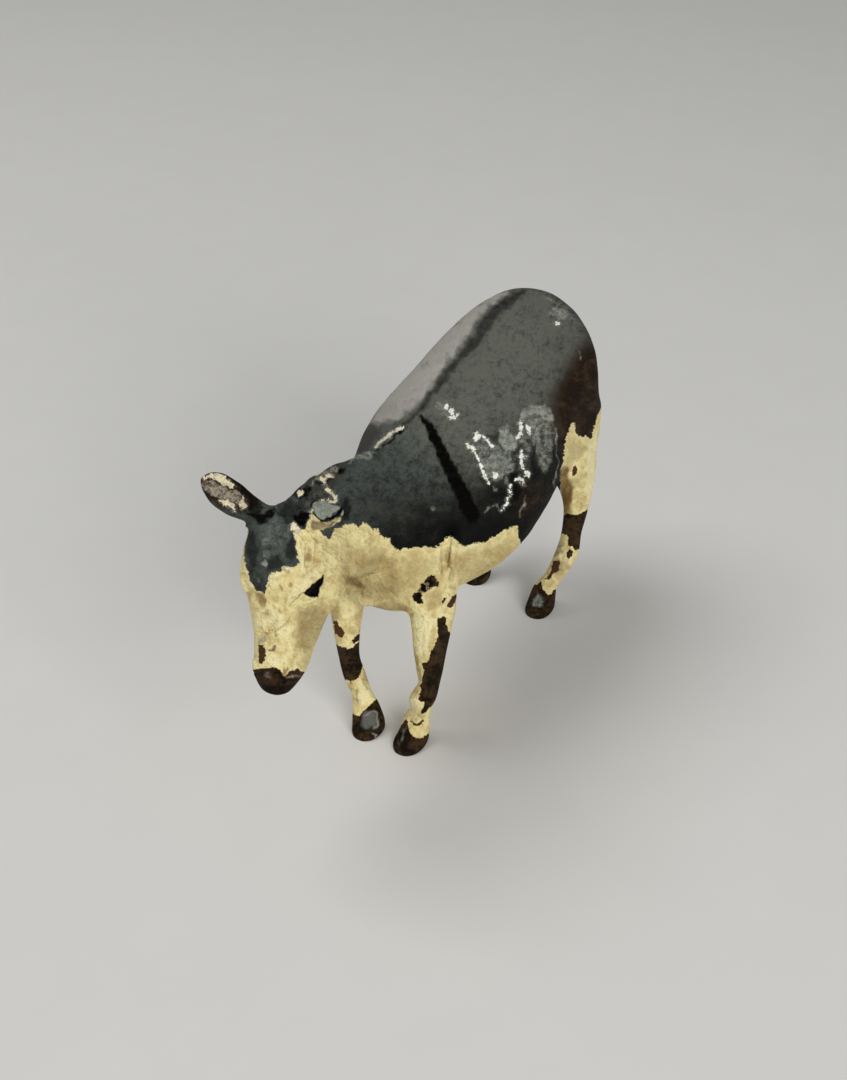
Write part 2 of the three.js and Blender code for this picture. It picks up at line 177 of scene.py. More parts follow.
# %% Barrel and neck
barrel = [  # x, top, widest level, bottom, half width
    (-24.0, 32.6, 31.0, 29.4, 0.8),
    (-23.6, 35.0, 30.4, 26.8, 2.9),
    (-22.3, 37.5, 29.6, 23.0, 6.4),
    (-19.0, 39.3, 29.0, 20.6, 8.3),
    (-12.0, 39.65, 27.6, 17.9, 8.9),
    (-5.0, 38.2, 25.6, 15.9, 9.5),
    (2.0, 36.6, 24.8, 15.6, 9.6),
    (8.0, 35.4, 25.2, 15.8, 7.5),
    (13.0, 33.4, 25.4, 16.5, 5.5),
    (16.8, 31.0, 25.5, 19.4, 4.2),
    (18.6, 28.0, 25.8, 23.3, 1.5),
    (18.9, 26.8, 25.8, 24.8, 0.6)]
neck = [  # x, level, above, below, half width
    (3.0, 28.0, 7.2, 8.0, 4.4),
    (9.0, 28.8, 6.6, 8.2, 4.0),
    (14.5, 29.8, 6.0, 7.0, 3.7),
    (20.0, 30.8, 6.1, 6.0, 3.6),
    (25.5, 31.4, 6.5, 5.4, 3.3),
    (30.0, 31.8, 5.7, 4.6, 2.8)]
back_squareness, belly_squareness = 2.0, 2.4
crest_squareness, throat_squareness = 1.7, 2.1


def barrel_distance(x, y, z):
    """Upright ovals across y, with one reach above the widest level and another below, carried
    along x."""
    first, last, (top, widest, bottom, half_width) = read_along(barrel, x)
    rise = z - widest
    reach = np.where(rise > 0, top - widest, widest - bottom)
    squareness = np.where(rise > 0, back_squareness, belly_squareness)
    ends = np.maximum(first - x, x - last)
    return np.maximum(oval_distance(y, half_width, rise, reach, squareness), ends)


def neck_distance(x, y, z):
    """Upright ovals across y, pinched above the neck's level, carried along x."""
    first, last, (level, above, below, half_width) = read_along(neck, x)
    rise = z - level
    reach = np.where(rise > 0, above, below)
    squareness = np.where(rise > 0, crest_squareness, throat_squareness)
    ends = np.maximum(first - x, x - last)
    return np.maximum(oval_distance(y, half_width, rise, reach, squareness), ends)


print("barrel", len(barrel), "stations, neck", len(neck))

# %% [markdown]
# ## Legs
# A leg's profile lies level and is carried upwards: hoof, slim pastern, knob of the fetlock, shank,
# knee or hock, and then the shoulder or thigh, which ends in a rounded top inside the barrel. Left
# and right differ below the knee, because the animal stands with one foot of each pair forward.

# %% Legs
shoulder = [  # z, rear, front, distance from the middle plane, half width
    (19.0, 9.5, 15.5, 5.0, 2.1),
    (25.0, 8.5, 14.4, 3.8, 1.9),
    (28.0, 8.8, 12.4, 3.2, 1.1),
    (29.0, 9.8, 11.2, 3.0, 0.4)]
thigh = [
    (21.0, -23.1, -12.9, 5.8, 2.6),
    (26.0, -23.8, -12.3, 5.2, 3.2),
    (30.0, -21.5, -13.0, 4.4, 2.4),
    (31.5, -18.5, -15.5, 4.0, 0.8)]
leg_stations = {
    "front_left_leg": [
        (0.0, 11.0, 15.6, 2.75, 1.6),
        (0.4, 10.9, 15.5, 2.75, 1.7),
        (1.2, 11.0, 14.1, 2.8, 1.6),
        (2.6, 11.2, 12.9, 2.85, 1.4),
        (4.2, 11.4, 13.2, 3.45, 1.15),
        (6.2, 11.1, 14.1, 3.9, 1.35),
        (8.5, 11.7, 13.9, 4.7, 1.1),
        (11.0, 11.6, 14.75, 5.0, 1.35),
        (15.0, 11.0, 15.3, 5.15, 1.8)] + shoulder,
    "front_right_leg": [
        (0.0, 11.6, 15.6, 2.3, 1.5),
        (0.4, 11.5, 15.6, 2.3, 1.6),
        (1.2, 11.4, 15.1, 2.5, 1.6),
        (3.0, 11.6, 13.9, 3.15, 1.4),
        (4.2, 11.6, 13.6, 3.75, 1.15),
        (6.2, 11.5, 13.8, 4.55, 1.2),
        (8.5, 11.8, 13.8, 5.0, 1.1),
        (11.0, 11.7, 14.5, 4.95, 1.2),
        (15.0, 11.0, 15.3, 4.85, 1.5)] + shoulder,
    "hind_left_leg": [
        (0.0, -17.9, -13.8, 4.05, 1.5),
        (0.4, -18.0, -13.8, 4.05, 1.6),
        (1.2, -18.1, -14.3, 4.05, 1.55),
        (3.0, -18.0, -15.2, 4.35, 1.35),
        (4.2, -18.6, -16.7, 4.95, 1.15),
        (6.5, -20.2, -17.5, 5.75, 1.35),
        (10.0, -20.6, -18.0, 6.2, 1.15),
        (14.0, -21.9, -17.7, 6.4, 1.45),
        (17.0, -22.7, -16.3, 6.2, 1.9)] + thigh,
    "hind_right_leg": [
        (0.0, -20.3, -16.5, 5.75, 1.5),
        (0.4, -20.4, -16.5, 5.75, 1.6),
        (1.2, -20.4, -16.7, 5.75, 1.55),
        (3.0, -20.3, -17.3, 5.9, 1.35),
        (4.2, -20.6, -18.2, 6.2, 1.15),
        (6.5, -21.4, -18.6, 6.5, 1.3),
        (10.0, -21.9, -19.4, 6.7, 1.15),
        (14.0, -22.8, -19.1, 6.6, 1.45),
        (17.0, -23.1, -17.7, 6.2, 1.9)] + thigh}
leg_side = {leg: 1 if "left" in leg else -1 for leg in leg_stations}
leg_squareness = 2.2


def leg_middle(leg, z):
    """Middle of a leg's profile at a height: half way from rear to front, and at its distance to
    the side."""
    rear, front, aside, half_width = read_along(leg_stations[leg], z)[2]
    return (rear + front) / 2, leg_side[leg] * aside, (front - rear) / 2, half_width


def leg_distance(leg, x, y, z):
    """Level ovals carried upwards, ending at the top station."""
    middle_x, middle_y, half_length, half_width = leg_middle(leg, z)
    round_about = oval_distance(y - middle_y, half_width, x - middle_x, half_length, leg_squareness)
    return np.maximum(round_about, z - leg_stations[leg][-1][0])


print("legs:", ", ".join(leg_stations))

# %% [markdown]
# ## Head
# The head hangs from the poll, its face sloping a little forward and turned a touch to the left.
# Its profile is carried down the face: narrow in front, deep behind at the jaw, then slim again at
# the muzzle. Working in the head's own directions (along the face, to its side, out of it) keeps
# the eyes and lips easy to place.

# %% Head
head = [  # along the face, reach in front, reach behind, half width
    (-0.3, 0.6, 0.6, 0.6),
    (-0.2, 1.2, 1.2, 1.2),
    (1.0, 2.4, 3.6, 2.8),
    (3.5, 3.1, 6.2, 3.35),
    (5.8, 3.2, 8.0, 3.5),
    (8.7, 2.8, 10.8, 2.75),
    (11.5, 2.4, 9.2, 2.15),
    (14.0, 2.2, 6.5, 2.05),
    (15.9, 2.0, 4.6, 2.0),
    (17.2, 1.4, 2.6, 1.5),
    (17.8, 0.6, 0.8, 0.6)]
head_squareness = 2.1
poll = np.array((30.6, -0.1, 37.2))
face_slope, head_turn = np.radians((10.0, 2.0))
facing = np.array((np.cos(head_turn), np.sin(head_turn), 0.0))
upright = np.array((0.0, 0.0, 1.0))
head_axes = np.array((
    facing * np.sin(face_slope) - upright * np.cos(face_slope),
    np.cross(upright, facing),
    facing * np.cos(face_slope) + upright * np.sin(face_slope)))


def in_axes(x, y, z, origin, axes):
    """Places along each of three directions from an origin: the sum of the offsets times the
    direction's parts."""
    dx, dy, dz = x - origin[0], y - origin[1], z - origin[2]
    return [dx * axis[0] + dy * axis[1] + dz * axis[2] for axis in axes]


def head_distance(x, y, z):
    """Ovals square to the face, with one reach in front and another behind, carried down the face."""
    along, side, out = in_axes(x, y, z, poll, head_axes)
    first, last, (front, back, half_width) = read_along(head, along)
    reach = np.where(out > 0, front, back)
    ends = np.maximum(first - along, along - last)
    return np.maximum(oval_distance(side, half_width, out, reach, head_squareness), ends)


print("chin at", (poll + head[-1][0] * head_axes[0]).round(1))

# %% [markdown]
# ## Ears and tail
# The right ear is a leaf that sticks straight out, hollowed on its front face. The left ear broke
# off long ago and left an oval of bare metal. The tail is a slim rod with a tuft, close against the
# rump. Ear and stump are flat ovals carried along a straight path, the tail is a chain of balls
# along a curved one.

# %% Ears and tail
ear_root, ear_tip = np.array((30.4, -2.2, 35.9)), np.array((28.4, -10.2, 36.65))
ear_facing = np.array((0.9, 0.1, 0.45))
ear = [  # along the ear, half width, half thickness
    (-0.6, 0.9, 0.7),
    (0.0, 1.2, 0.85),
    (2.0, 1.2, 0.8),
    (4.6, 1.55, 0.65),
    (6.6, 1.5, 0.55),
    (8.0, 0.95, 0.45),
    (8.6, 0.3, 0.3)]
ear_squareness = 2.2
ear_scoop_at, ear_scoop_reach = (5.0, 0.0, 0.75), (2.9, 0.95, 0.55)
ear_scoop_lip = 0.25
stump_root, stump_tip = np.array((27.0, 1.55, 35.1)), np.array((27.6, 2.5, 36.8))
stump_facing = np.array((0.755, 0.418, -0.5))
stump_half_width, stump_half_thickness, stump_lip = 1.5, 0.95, 0.35
stump_wave, stump_break = 0.07, 0.12
stump_ripples = ((3, 1.0), (5, 0.0))
tail = [  # x, z, radius
    (-23.3, 35.3, 0.7),
    (-23.9, 35.1, 1.0),
    (-24.9, 33.0, 0.9),
    (-25.3, 28.5, 0.8),
    (-25.3, 24.0, 0.9),
    (-25.2, 20.0, 1.1),
    (-25.1, 17.6, 0.5)]


def leaf_axes(root, tip, front):
    """Directions along a leaf, across it and out of its front face."""
    along = (tip - root) / np.linalg.norm(tip - root)
    out = front - along * (front @ along)
    out = out / np.linalg.norm(out)
    return np.array((along, np.cross(out, along), out))


ear_axes = leaf_axes(ear_root, ear_tip, ear_facing)
stump_axes = leaf_axes(stump_root, stump_tip, stump_facing)


def ear_distance(x, y, z):
    """Flat ovals carried from root to tip, with an egg-shaped scoop taken out of the front."""
    along, across, out = in_axes(x, y, z, ear_root, ear_axes)
    first, last, (half_width, half_thickness) = read_along(ear, along)
    leaf = oval_distance(across, half_width, out, half_thickness, ear_squareness)
    leaf = np.maximum(leaf, np.maximum(first - along, along - last))
    offsets = [(place - middle) / reach for place, middle, reach in
               zip((along, across, out), ear_scoop_at, ear_scoop_reach)]
    scoop = (np.sqrt(sum(offset ** 2 for offset in offsets)) - 1) * ear_scoop_reach[2]
    return soft_cut(leaf, scoop, ear_scoop_lip)


def stump_distance(x, y, z):
    """One flat oval with a wavy edge carried along the stump, broken off square with a rounded lip."""
    along, across, out = in_axes(x, y, z, stump_root, stump_axes)
    length = np.linalg.norm(stump_tip - stump_root) + stump_break * across
    round_about = oval_distance(across, stump_half_width, out, stump_half_thickness, ear_squareness)
    angle = np.arctan2(out, across)
    ripple = sum(np.sin(count * angle + phase) for count, phase in stump_ripples)
    round_about = round_about + stump_wave * ripple
    return -soft_union(-round_about, -np.maximum(along - length, -along), stump_lip)


def tail_distance(x, y, z):
    """Nearest of many balls along the tail's curve: distance to each middle less its radius."""
    nearest = np.inf
    for ball_x, ball_z, radius in smoothed(tail).T:
        nearest = np.minimum(nearest, np.sqrt((x - ball_x) ** 2 + y ** 2 + (z - ball_z) ** 2) - radius)
    return nearest


print("ear", round(float(np.linalg.norm(ear_tip - ear_root)), 1), "mm long")

# %% [markdown]
# ## Tooled details
# The mould maker cut the small forms with a graver: brows, eyes, nostrils, the line of the mouth,
# the mane. Each is a rod with round ends and a changing thickness, laid on the skin or sunk into
# it. A form with a partner on the other side of the head is mirrored there.

# %% Rods for raised and sunk details


def rod_distance(x, y, z, path):
    """Distance to a chain of rods: to the nearest point of each straight run, less the radius there."""
    nearest = np.inf
    path = np.asarray(path, float)
    for start, end in zip(path[:-1], path[1:]):
        run = end[:3] - start[:3]
        dx, dy, dz = x - start[0], y - start[1], z - start[2]
        share = np.clip((dx * run[0] + dy * run[1] + dz * run[2]) / (run @ run), 0, 1)
        gap = np.sqrt((dx - share * run[0]) ** 2 + (dy - share * run[1]) ** 2 + (dz - share * run[2]) ** 2)
        nearest = np.minimum(nearest, gap - start[3] - share * (end[3] - start[3]))
    return nearest


def on_face(*path):
    """Places in the head's own directions, with a radius, as places in the drawing."""
    path = np.asarray(path, float)
    return np.column_stack((poll + path[:, :3] @ head_axes, path[:, 3]))


def both_sides(*path):
    """A path on the left of the face and its mirror on the right."""
    return [on_face(*path), on_face(*[(along, -side, out, radius) for along, side, out, radius in path])]


mane = [
    (8.0, 0.3, 35.3, 0.25),
    (10.5, 0.1, 35.3, 0.45),
    (14.5, -0.3, 35.2, 0.5),
    (18.0, -0.35, 35.9, 0.5),
    (21.0, -0.35, 36.85, 0.55),
    (25.5, -0.3, 37.65, 0.6),
    (28.5, -0.1, 37.45, 0.6),
    (30.4, 0.1, 37.3, 0.6)]
stump_fold = [(30.4, 2.7, 36.2, 0.3), (28.3, 2.9, 35.7, 0.4), (26.0, 2.8, 35.2, 0.3)]
elbow_ridge = [(11.3, 6.6, 26.2, 0.3), (11.4, 6.8, 25.0, 0.3), (12.0, 6.9, 23.4, 0.25)]
elbow_groove = [(12.6, 6.4, 24.8, 0.15), (12.9, 6.75, 22.7, 0.25), (13.0, 7.0, 20.6, 0.15)]
brow = [(6.9, 2.3, 2.2, 0.3), (6.0, 2.9, 1.3, 0.5), (5.0, 3.2, 0.1, 0.5), (4.1, 3.3, -0.9, 0.45)]
lower_lid = [(7.4, 2.85, 1.4, 0.2), (7.2, 3.35, -0.3, 0.25)]
cheek = [(7.0, 1.9, -3.8, 1.9), (9.0, 1.5, -4.8, 1.9)]
nostril_wing = [(14.7, 1.2, 1.3, 0.5), (15.4, 1.25, 1.1, 0.5)]
chin = [(16.2, 0.0, -1.0, 1.0), (16.0, 0.0, -2.4, 1.1)]
eye = [(6.75, 3.3, 1.6, 0.1), (6.35, 3.75, 0.6, 0.35), (5.95, 3.95, -0.1, 0.5), (5.2, 3.95, -0.6, 0.2)]
mouth = [(15.7, 1.2, 1.8, 0.13), (15.4, 2.1, 0.6, 0.14), (15.6, 2.3, -0.8, 0.1)]
nostril = [(14.9, 1.75, 1.5, 0.2), (15.2, 1.75, 1.3, 0.22)]
breast = [(16.3, -1.3, 19.7, 1.0), (16.8, -0.4, 20.0, 0.9)]
ear_swell = [(30.9, -2.6, 35.2, 0.8), (30.6, -3.4, 35.4, 0.6)]
raised = [  # path, fillet
    (mane, 0.5), (breast, 0.9), (ear_swell, 0.7), (stump_fold, 0.4), (elbow_ridge, 0.5),
    (on_face(*chin), 0.8)]
sunk = [(elbow_groove, 0.4)]
raised_pairs = ((brow, 0.6), (lower_lid, 0.4), (cheek, 1.4), (nostril_wing, 0.5))
sunk_pairs = ((eye, 0.25), (mouth, 0.25), (nostril, 0.25))
for details, pairs in ((raised, raised_pairs), (sunk, sunk_pairs)):
    details += [(path, fillet) for form, fillet in pairs for path in both_sides(*form)]
print(len(raised), "raised and", len(sunk), "sunk details")

# %% [markdown]
# ## The whole skin
# All tubes are blended, the details laid on, and last come low lumps of a hand-carved mould and
# thick paint: a sum of slow waves, a few hundredths of a millimetre high.

# %% Whole skin
neck_fillet, leg_fillet, head_fillet, ear_fillet = 2.5, 1.5, 2.0, 0.8
lump_height = 0.05
lump_waves = ((1.3, 0.7, 0.4, 0.0), (-0.5, 1.1, 0.9, 1.7), (0.6, -0.8, 1.5, 4.1), (2.3, 1.9, -1.4, 2.6))


def is_near(x, y, z, path, margin=2.5):
    """Whether the box of the places comes within a margin of the box of a path."""
    path = np.asarray(path)
    return all(np.max(place) > path[:, axis].min() - margin and np.min(place) < path[:, axis].max() + margin
               for axis, place in enumerate((x, y, z)))


def skin_distance(x, y, z):
    """Soft minimum of all tubes, then the raised rods joined and the sunk rods cut, plus slow sine
    waves."""
    skin = soft_union(barrel_distance(x, y, z), neck_distance(x, y, z), neck_fillet)
    for leg in leg_stations:
        skin = soft_union(skin, leg_distance(leg, x, y, z), leg_fillet)
    skin = soft_union(skin, head_distance(x, y, z), head_fillet)
    skin = soft_union(skin, ear_distance(x, y, z), ear_fillet)
    for path, fillet in raised:
        if is_near(x, y, z, path):
            skin = soft_union(skin, rod_distance(x, y, z, path), fillet)
    for path, fillet in sunk:
        if is_near(x, y, z, path):
            skin = soft_cut(skin, rod_distance(x, y, z, path), fillet)
    lumps = sum(np.sin(a * x + b * y + c * z + phase) for a, b, c, phase in lump_waves)
    return skin + lump_height / len(lump_waves) * lumps


def stump_alone(x, y, z):
    """The stump less the skin it stands on: the larger of its distance and the skin's, turned
    inside out."""
    return np.maximum(stump_distance(x, y, z), -skin_distance(x, y, z))


def tail_alone(x, y, z):
    """The tail less the rump it is soldered to."""
    return np.maximum(tail_distance(x, y, z), -skin_distance(x, y, z))


def everything(x, y, z):
    """The skin with the stump and the tail: the smallest of the three."""
    return np.minimum(np.minimum(skin_distance(x, y, z), stump_distance(x, y, z)), tail_distance(x, y, z))


print("middle of the barrel is", round(float(skin_distance(-5.0, 0.0, 27.0)), 2), "mm deep")

# %% [markdown]
# ## From distances to faces
# To see the zero level we lay a fine grid of cubes over a piece and read the distance at each
# corner. A cube with corners on both sides holds one vertex, at the mean of the crossings on its
# edges, and each grid edge that crosses the skin joins the four cubes around it into a square face.
# That is a surface net. It gives even, nearly square faces, which suit paint better than the long
# triangles of a lofted tube. Then each vertex slides down the slope of the distance until it lies
# on the skin exactly, and the slope also gives the smooth normals.

# %% Surface net
least_slope = 0.1


def cube_beside(place, others, offset, cubes):
    """Cube at an offset from each crossed edge along the two other axes, and whether it is in the
    grid."""
    cube = place.copy()
    cube[:, others] -= offset
    return cube, np.all((cube >= 0) & (cube < cubes), axis=1)


def surface_net(distance, low, step):
    """Vertices at the mean edge crossing of each cube that the skin passes, faces round each
    crossed grid edge."""
    inside = distance < 0
    cubes = tuple(size - 1 for size in distance.shape)
    total, count = np.zeros(cubes + (3,)), np.zeros(cubes)
    crossings = []
    for axis in range(3):
        near = [slice(None)] * 3
        far = [slice(None)] * 3
        near[axis], far[axis] = slice(None, -1), slice(1, None)
        near, far = tuple(near), tuple(far)
        crossed = inside[near] != inside[far]
        place = np.argwhere(crossed)
        first, second = distance[near][crossed], distance[far][crossed]
        point = place.astype(float)
        point[:, axis] += first / (first - second)
        others = [other for other in range(3) if other != axis]
        for offset_a in (0, 1):
            for offset_b in (0, 1):
                cube, held = cube_beside(place, others, (offset_a, offset_b), cubes)
                spot = tuple(cube[held].T)
                np.add.at(total, spot, point[held])
                np.add.at(count, spot, 1)
        crossings.append((axis, others, place, inside[near][crossed]))
    used = count > 0
    number = np.full(cubes, -1)
    number[used] = np.arange(used.sum())
    faces = []
    for axis, others, place, starts_inside in crossings:
        ring = []
        for offset in ((0, 0), (1, 0), (1, 1), (0, 1)):
            cube, held = cube_beside(place, others, offset, cubes)
            cube = np.clip(cube, 0, np.array(cubes) - 1)
            ring.append(np.where(held, number[tuple(cube.T)], -1))
        ring = np.stack(ring, 1)
        turned = starts_inside ^ (axis == 1)
        ring = np.where(turned[:, None], ring, ring[:, ::-1])
        faces.append(ring[np.all(ring >= 0, axis=1)])
    return np.asarray(low) + total[used] / count[used][:, None] * step, np.concatenate(faces)


def value_and_slope(field, points, reach=0.02):
    """Distance at each point and its slope: differences between two places on either side along
    each axis."""
    sides = [field(*(points + move).T) - field(*(points - move).T) for move in reach * np.eye(3)]
    return field(*points.T), np.stack(sides, 1) / (2 * reach)


def settled(field, points, passes=2):
    """Points moved onto the zero level: less distance times slope over the slope squared, a few
    times."""
    for _ in range(passes):
        value, slope = value_and_slope(field, points)
        points = points - slope * (value / np.maximum((slope ** 2).sum(1), least_slope))[:, None]
    return points


ball_step = 0.5
ball_axis = np.arange(-1.5, 1.6, ball_step)
ball = np.linalg.norm(np.meshgrid(ball_axis, ball_axis, ball_axis, indexing="ij"), axis=0) - 1
ball_faces = surface_net(ball, (ball_axis[0],) * 3, ball_step)[1]
print("a ball of radius 1 on a coarse grid:", len(ball_faces), "faces")

# %% [markdown]
# ## Reading the paint off the photograph
# Paint like this has no formula. A hand put it on, and most of a century of knocks took some of it
# off. What can be measured is the photograph, so the edge of a patch is written down as the pixels
# it passes through. Every vertex is asked on which pixel it falls and how far inside each patch
# that is. The answers are stored in the mesh, so the paint keeps its place from any side. A place
# that the camera doesn't see takes the paint of its mirror image on the near side, and the hidden
# side of a right leg takes that of the left leg.

# %% Pixels of the photograph
photo_middle = np.array((423.5, 540.0))
pixels_per_millimetre = focal_pixels / camera_distance
camera_place = looked_at + camera_distance * to_camera
sight_right = np.cross(upright, to_camera) / np.linalg.norm(np.cross(upright, to_camera))
sight_down = np.cross(sight_right, to_camera)
grazing = 0.04
belly_hides_below, belly_hides_behind = 24.0, 8.0


def on_photo(points):
    """Column and row of each place: its offsets across and down the view, over its depth, times the
    focal length."""
    offset = points - camera_place
    across = np.stack((offset @ sight_right, offset @ sight_down))
    return photo_middle[:, None] - focal_pixels * across / (offset @ to_camera)


def is_seen(points, normals):
    """Whether a place faces the camera, and isn't on the right behind the belly."""
    to_eye = camera_place - points
    faces = (normals * to_eye).sum(1) > grazing * np.linalg.norm(to_eye, axis=1)
    x, y, z = points.T
    return faces & ~((y < 0) & (z < belly_hides_below) & (x < belly_hides_behind))


def nearest_leg(points):
    """Name of the leg that each point belongs to, by front or rear and left or right."""
    ends = np.where(points[:, 0] > 0, "front", "hind")
    sides = np.where(points[:, 1] > 0, "_left_leg", "_right_leg")
    return np.char.add(ends, sides)


def paint_spot(points, normals):
    """Pixel whose paint a place takes: its own where it is seen, else that of its image on the left."""
    image = points.copy()
    image[:, 1] = np.abs(points[:, 1])
    own_leg = nearest_leg(points)
    for end in ("front", "hind"):
        here = (own_leg == end + "_right_leg") & (points[:, 2] < leg_joint)
        right_x, right_y = leg_middle(end + "_right_leg", points[here, 2])[:2]
        left_x, left_y = leg_middle(end + "_left_leg", points[here, 2])[:2]
        image[here, 0] += left_x - right_x
        image[here, 1] += left_y + right_y
    return on_photo(np.where(is_seen(points, normals)[:, None], points, image))


print("one millimetre is about", round(pixels_per_millimetre, 2), "pixels")

# %% [markdown]
# ## Marks
# A mark is either an outline, a list of corners, or a stroke, a list of places with half widths.
# All are in pixels of the photograph. Hard marks give a depth in millimetres, to which the material
# later adds its own noise, so that an edge is ragged and sharp however close one looks. Soft marks
# give a strength that fades across their edge.

# %% Depth inside a mark
far_outside = -9.0
mark_margin = 20.0
wander_reach = 0.6
wander_waves = ((0.13, 0.22, 0.0), (0.37, -0.18, 2.1), (-0.21, 0.43, 4.4), (0.9, 0.35, 1.2))


def inside_polygon(across, upward, corners):
    """Distance to the nearest side of a polygon, positive inside: inside means a level ray crosses
    it oddly often."""
    nearest, inside = np.inf, np.zeros(np.shape(across), bool)
    for (ax, ay), (bx, by) in zip(corners, np.roll(corners, -1, axis=0)):
        run_x, run_y = bx - ax, by - ay
        share = np.clip(((across - ax) * run_x + (upward - ay) * run_y) / (run_x ** 2 + run_y ** 2), 0, 1)
        nearest = np.minimum(nearest, np.hypot(across - ax - share * run_x, upward - ay - share * run_y))
        spans = (ay > upward) != (by > upward)
        inside ^= spans & (across < ax + (upward - ay) * run_x / (run_y if run_y else 1.0))
    return np.where(inside, nearest, -nearest)


def inside_mark(spot, mark):
    """Pixels inside an outline, or inside a stroke: a flat chain of rods, its distance turned round."""
    mark = np.asarray(mark, float)
    if mark.shape[1] == 2:
        return inside_polygon(*spot, mark)
    return -rod_distance(*spot, 0.0, np.column_stack((mark[:, :2], np.zeros(len(mark)), mark[:, 2])))


def near_mark(spot, mark):
    """Which spots lie in the mark's box or close to it."""
    corners = np.asarray(mark, float)[:, :2]
    low, high = corners.min(0) - mark_margin, corners.max(0) + mark_margin
    return np.all((spot > low[:, None]) & (spot < high[:, None]), axis=0)


def hard_marks(spot, marks):
    """Millimetres inside the deepest of some marks."""
    depth = np.full(spot.shape[1], far_outside)
    for mark in marks.values():
        near = near_mark(spot, mark)
        depth[near] = np.maximum(depth[near], inside_mark(spot[:, near], mark) / pixels_per_millimetre)
    return depth


def wandering(spot):
    """Spots moved a pixel or two by slow sine waves, so that no soft outline runs straight."""
    column, row = spot
    across = sum(np.sin(a * column + b * row + phase) for a, b, phase in wander_waves)
    down = sum(np.cos(b * column - a * row + 2 * phase) for a, b, phase in wander_waves)
    return spot + wander_reach * np.stack((across, down))


def soft_marks(spot, marks):
    """Strongest of some marks: strength times a rise from 0 to 1 over one softness either side of
    the edge."""
    strength = np.zeros(spot.shape[1])
    for most, softness, mark in marks.values():
        near = near_mark(spot, mark)
        share = np.clip(0.5 + 0.5 * inside_mark(spot[:, near], mark) / softness, 0, 1)
        here = most * share * share * (3 - 2 * share)
        strength[near] = np.where(np.abs(here) > np.abs(strength[near]), here, strength[near])
    return strength


square = [(0, 0), (10, 0), (10, 10), (0, 10)]
print("a spot 2 pixels inside a square:", inside_mark(np.array([[2.0], [5.0]]), square))

# %% [markdown]
# ## Cream and charcoal
# The painter had four pots: cream, charcoal for the back, black for the stripe over the shoulder,
# and a brown-black for hooves, muzzle and the bars on the legs. The edge between cream and charcoal
# wanders over the neck, round the blaze on the forehead, along the belly and round the thigh.

# %% Cream areas
cream_areas = {
    "face_neck_and_chest": [
        (236, 541), (243.5, 545), (244, 556), (246, 566), (249, 575), (251, 583), (255, 589),
        (260, 592), (264.5, 593), (266, 588), (266, 585), (268.5, 580), (269, 576), (271, 573),
        (276, 571.5), (281, 571), (282, 567), (286, 566), (294, 567), (297, 565), (299, 561),
        (297, 557), (296, 550), (295.5, 540), (293.5, 534), (296, 530), (300, 529), (304, 530.5),
        (306, 527), (308, 521), (311, 513.5), (315, 516), (318, 519.5), (322, 521.5), (330, 521),
        (336, 519), (341, 517.5), (340, 521), (334, 525), (326, 527.5), (320, 531), (322, 533),
        (325, 536), (329, 538.5), (332, 536), (333, 532), (335, 528), (341, 527), (345, 524.5),
        (352, 523), (357, 526), (359, 530), (360, 526), (363, 523), (367, 523), (369, 526),
        (372, 530), (376, 528), (379, 530.5), (380, 534), (383, 538), (388, 537), (390, 539),
        (391, 543), (393, 547), (396, 549), (400, 550), (405, 548.5), (412, 548), (418, 547),
        (425, 547), (433, 547.5), (438, 546), (440, 543), (444, 541), (446, 537), (449, 535.5),
        (452, 536), (455, 539), (458, 542), (460, 545), (464, 546), (470, 545), (475, 543),
        (483, 543), (488, 541), (492, 538), (497, 535), (503, 531), (509, 528), (514, 526.5),
        (517.2, 525.5), (517.5, 530), (518.5, 534), (520, 540), (525, 560), (500, 640), (470, 780),
        (380, 780), (330, 720), (240, 720), (225, 620)],
    "thigh_and_hind_leg": [
        (561, 482), (560.5, 470), (563, 462), (564, 452), (565, 443), (567, 436), (569, 430),
        (571, 424), (573, 421.5), (575, 424), (575, 430), (578, 435.5), (582, 437), (586, 435),
        (588, 436.5), (590, 440.5), (592, 436), (594, 428), (596, 420), (598, 413), (604, 404),
        (640, 460), (640, 640), (500, 640), (520, 590), (556, 530)]}
print(sum(len(area) for area in cream_areas.values()), "corners round the cream")

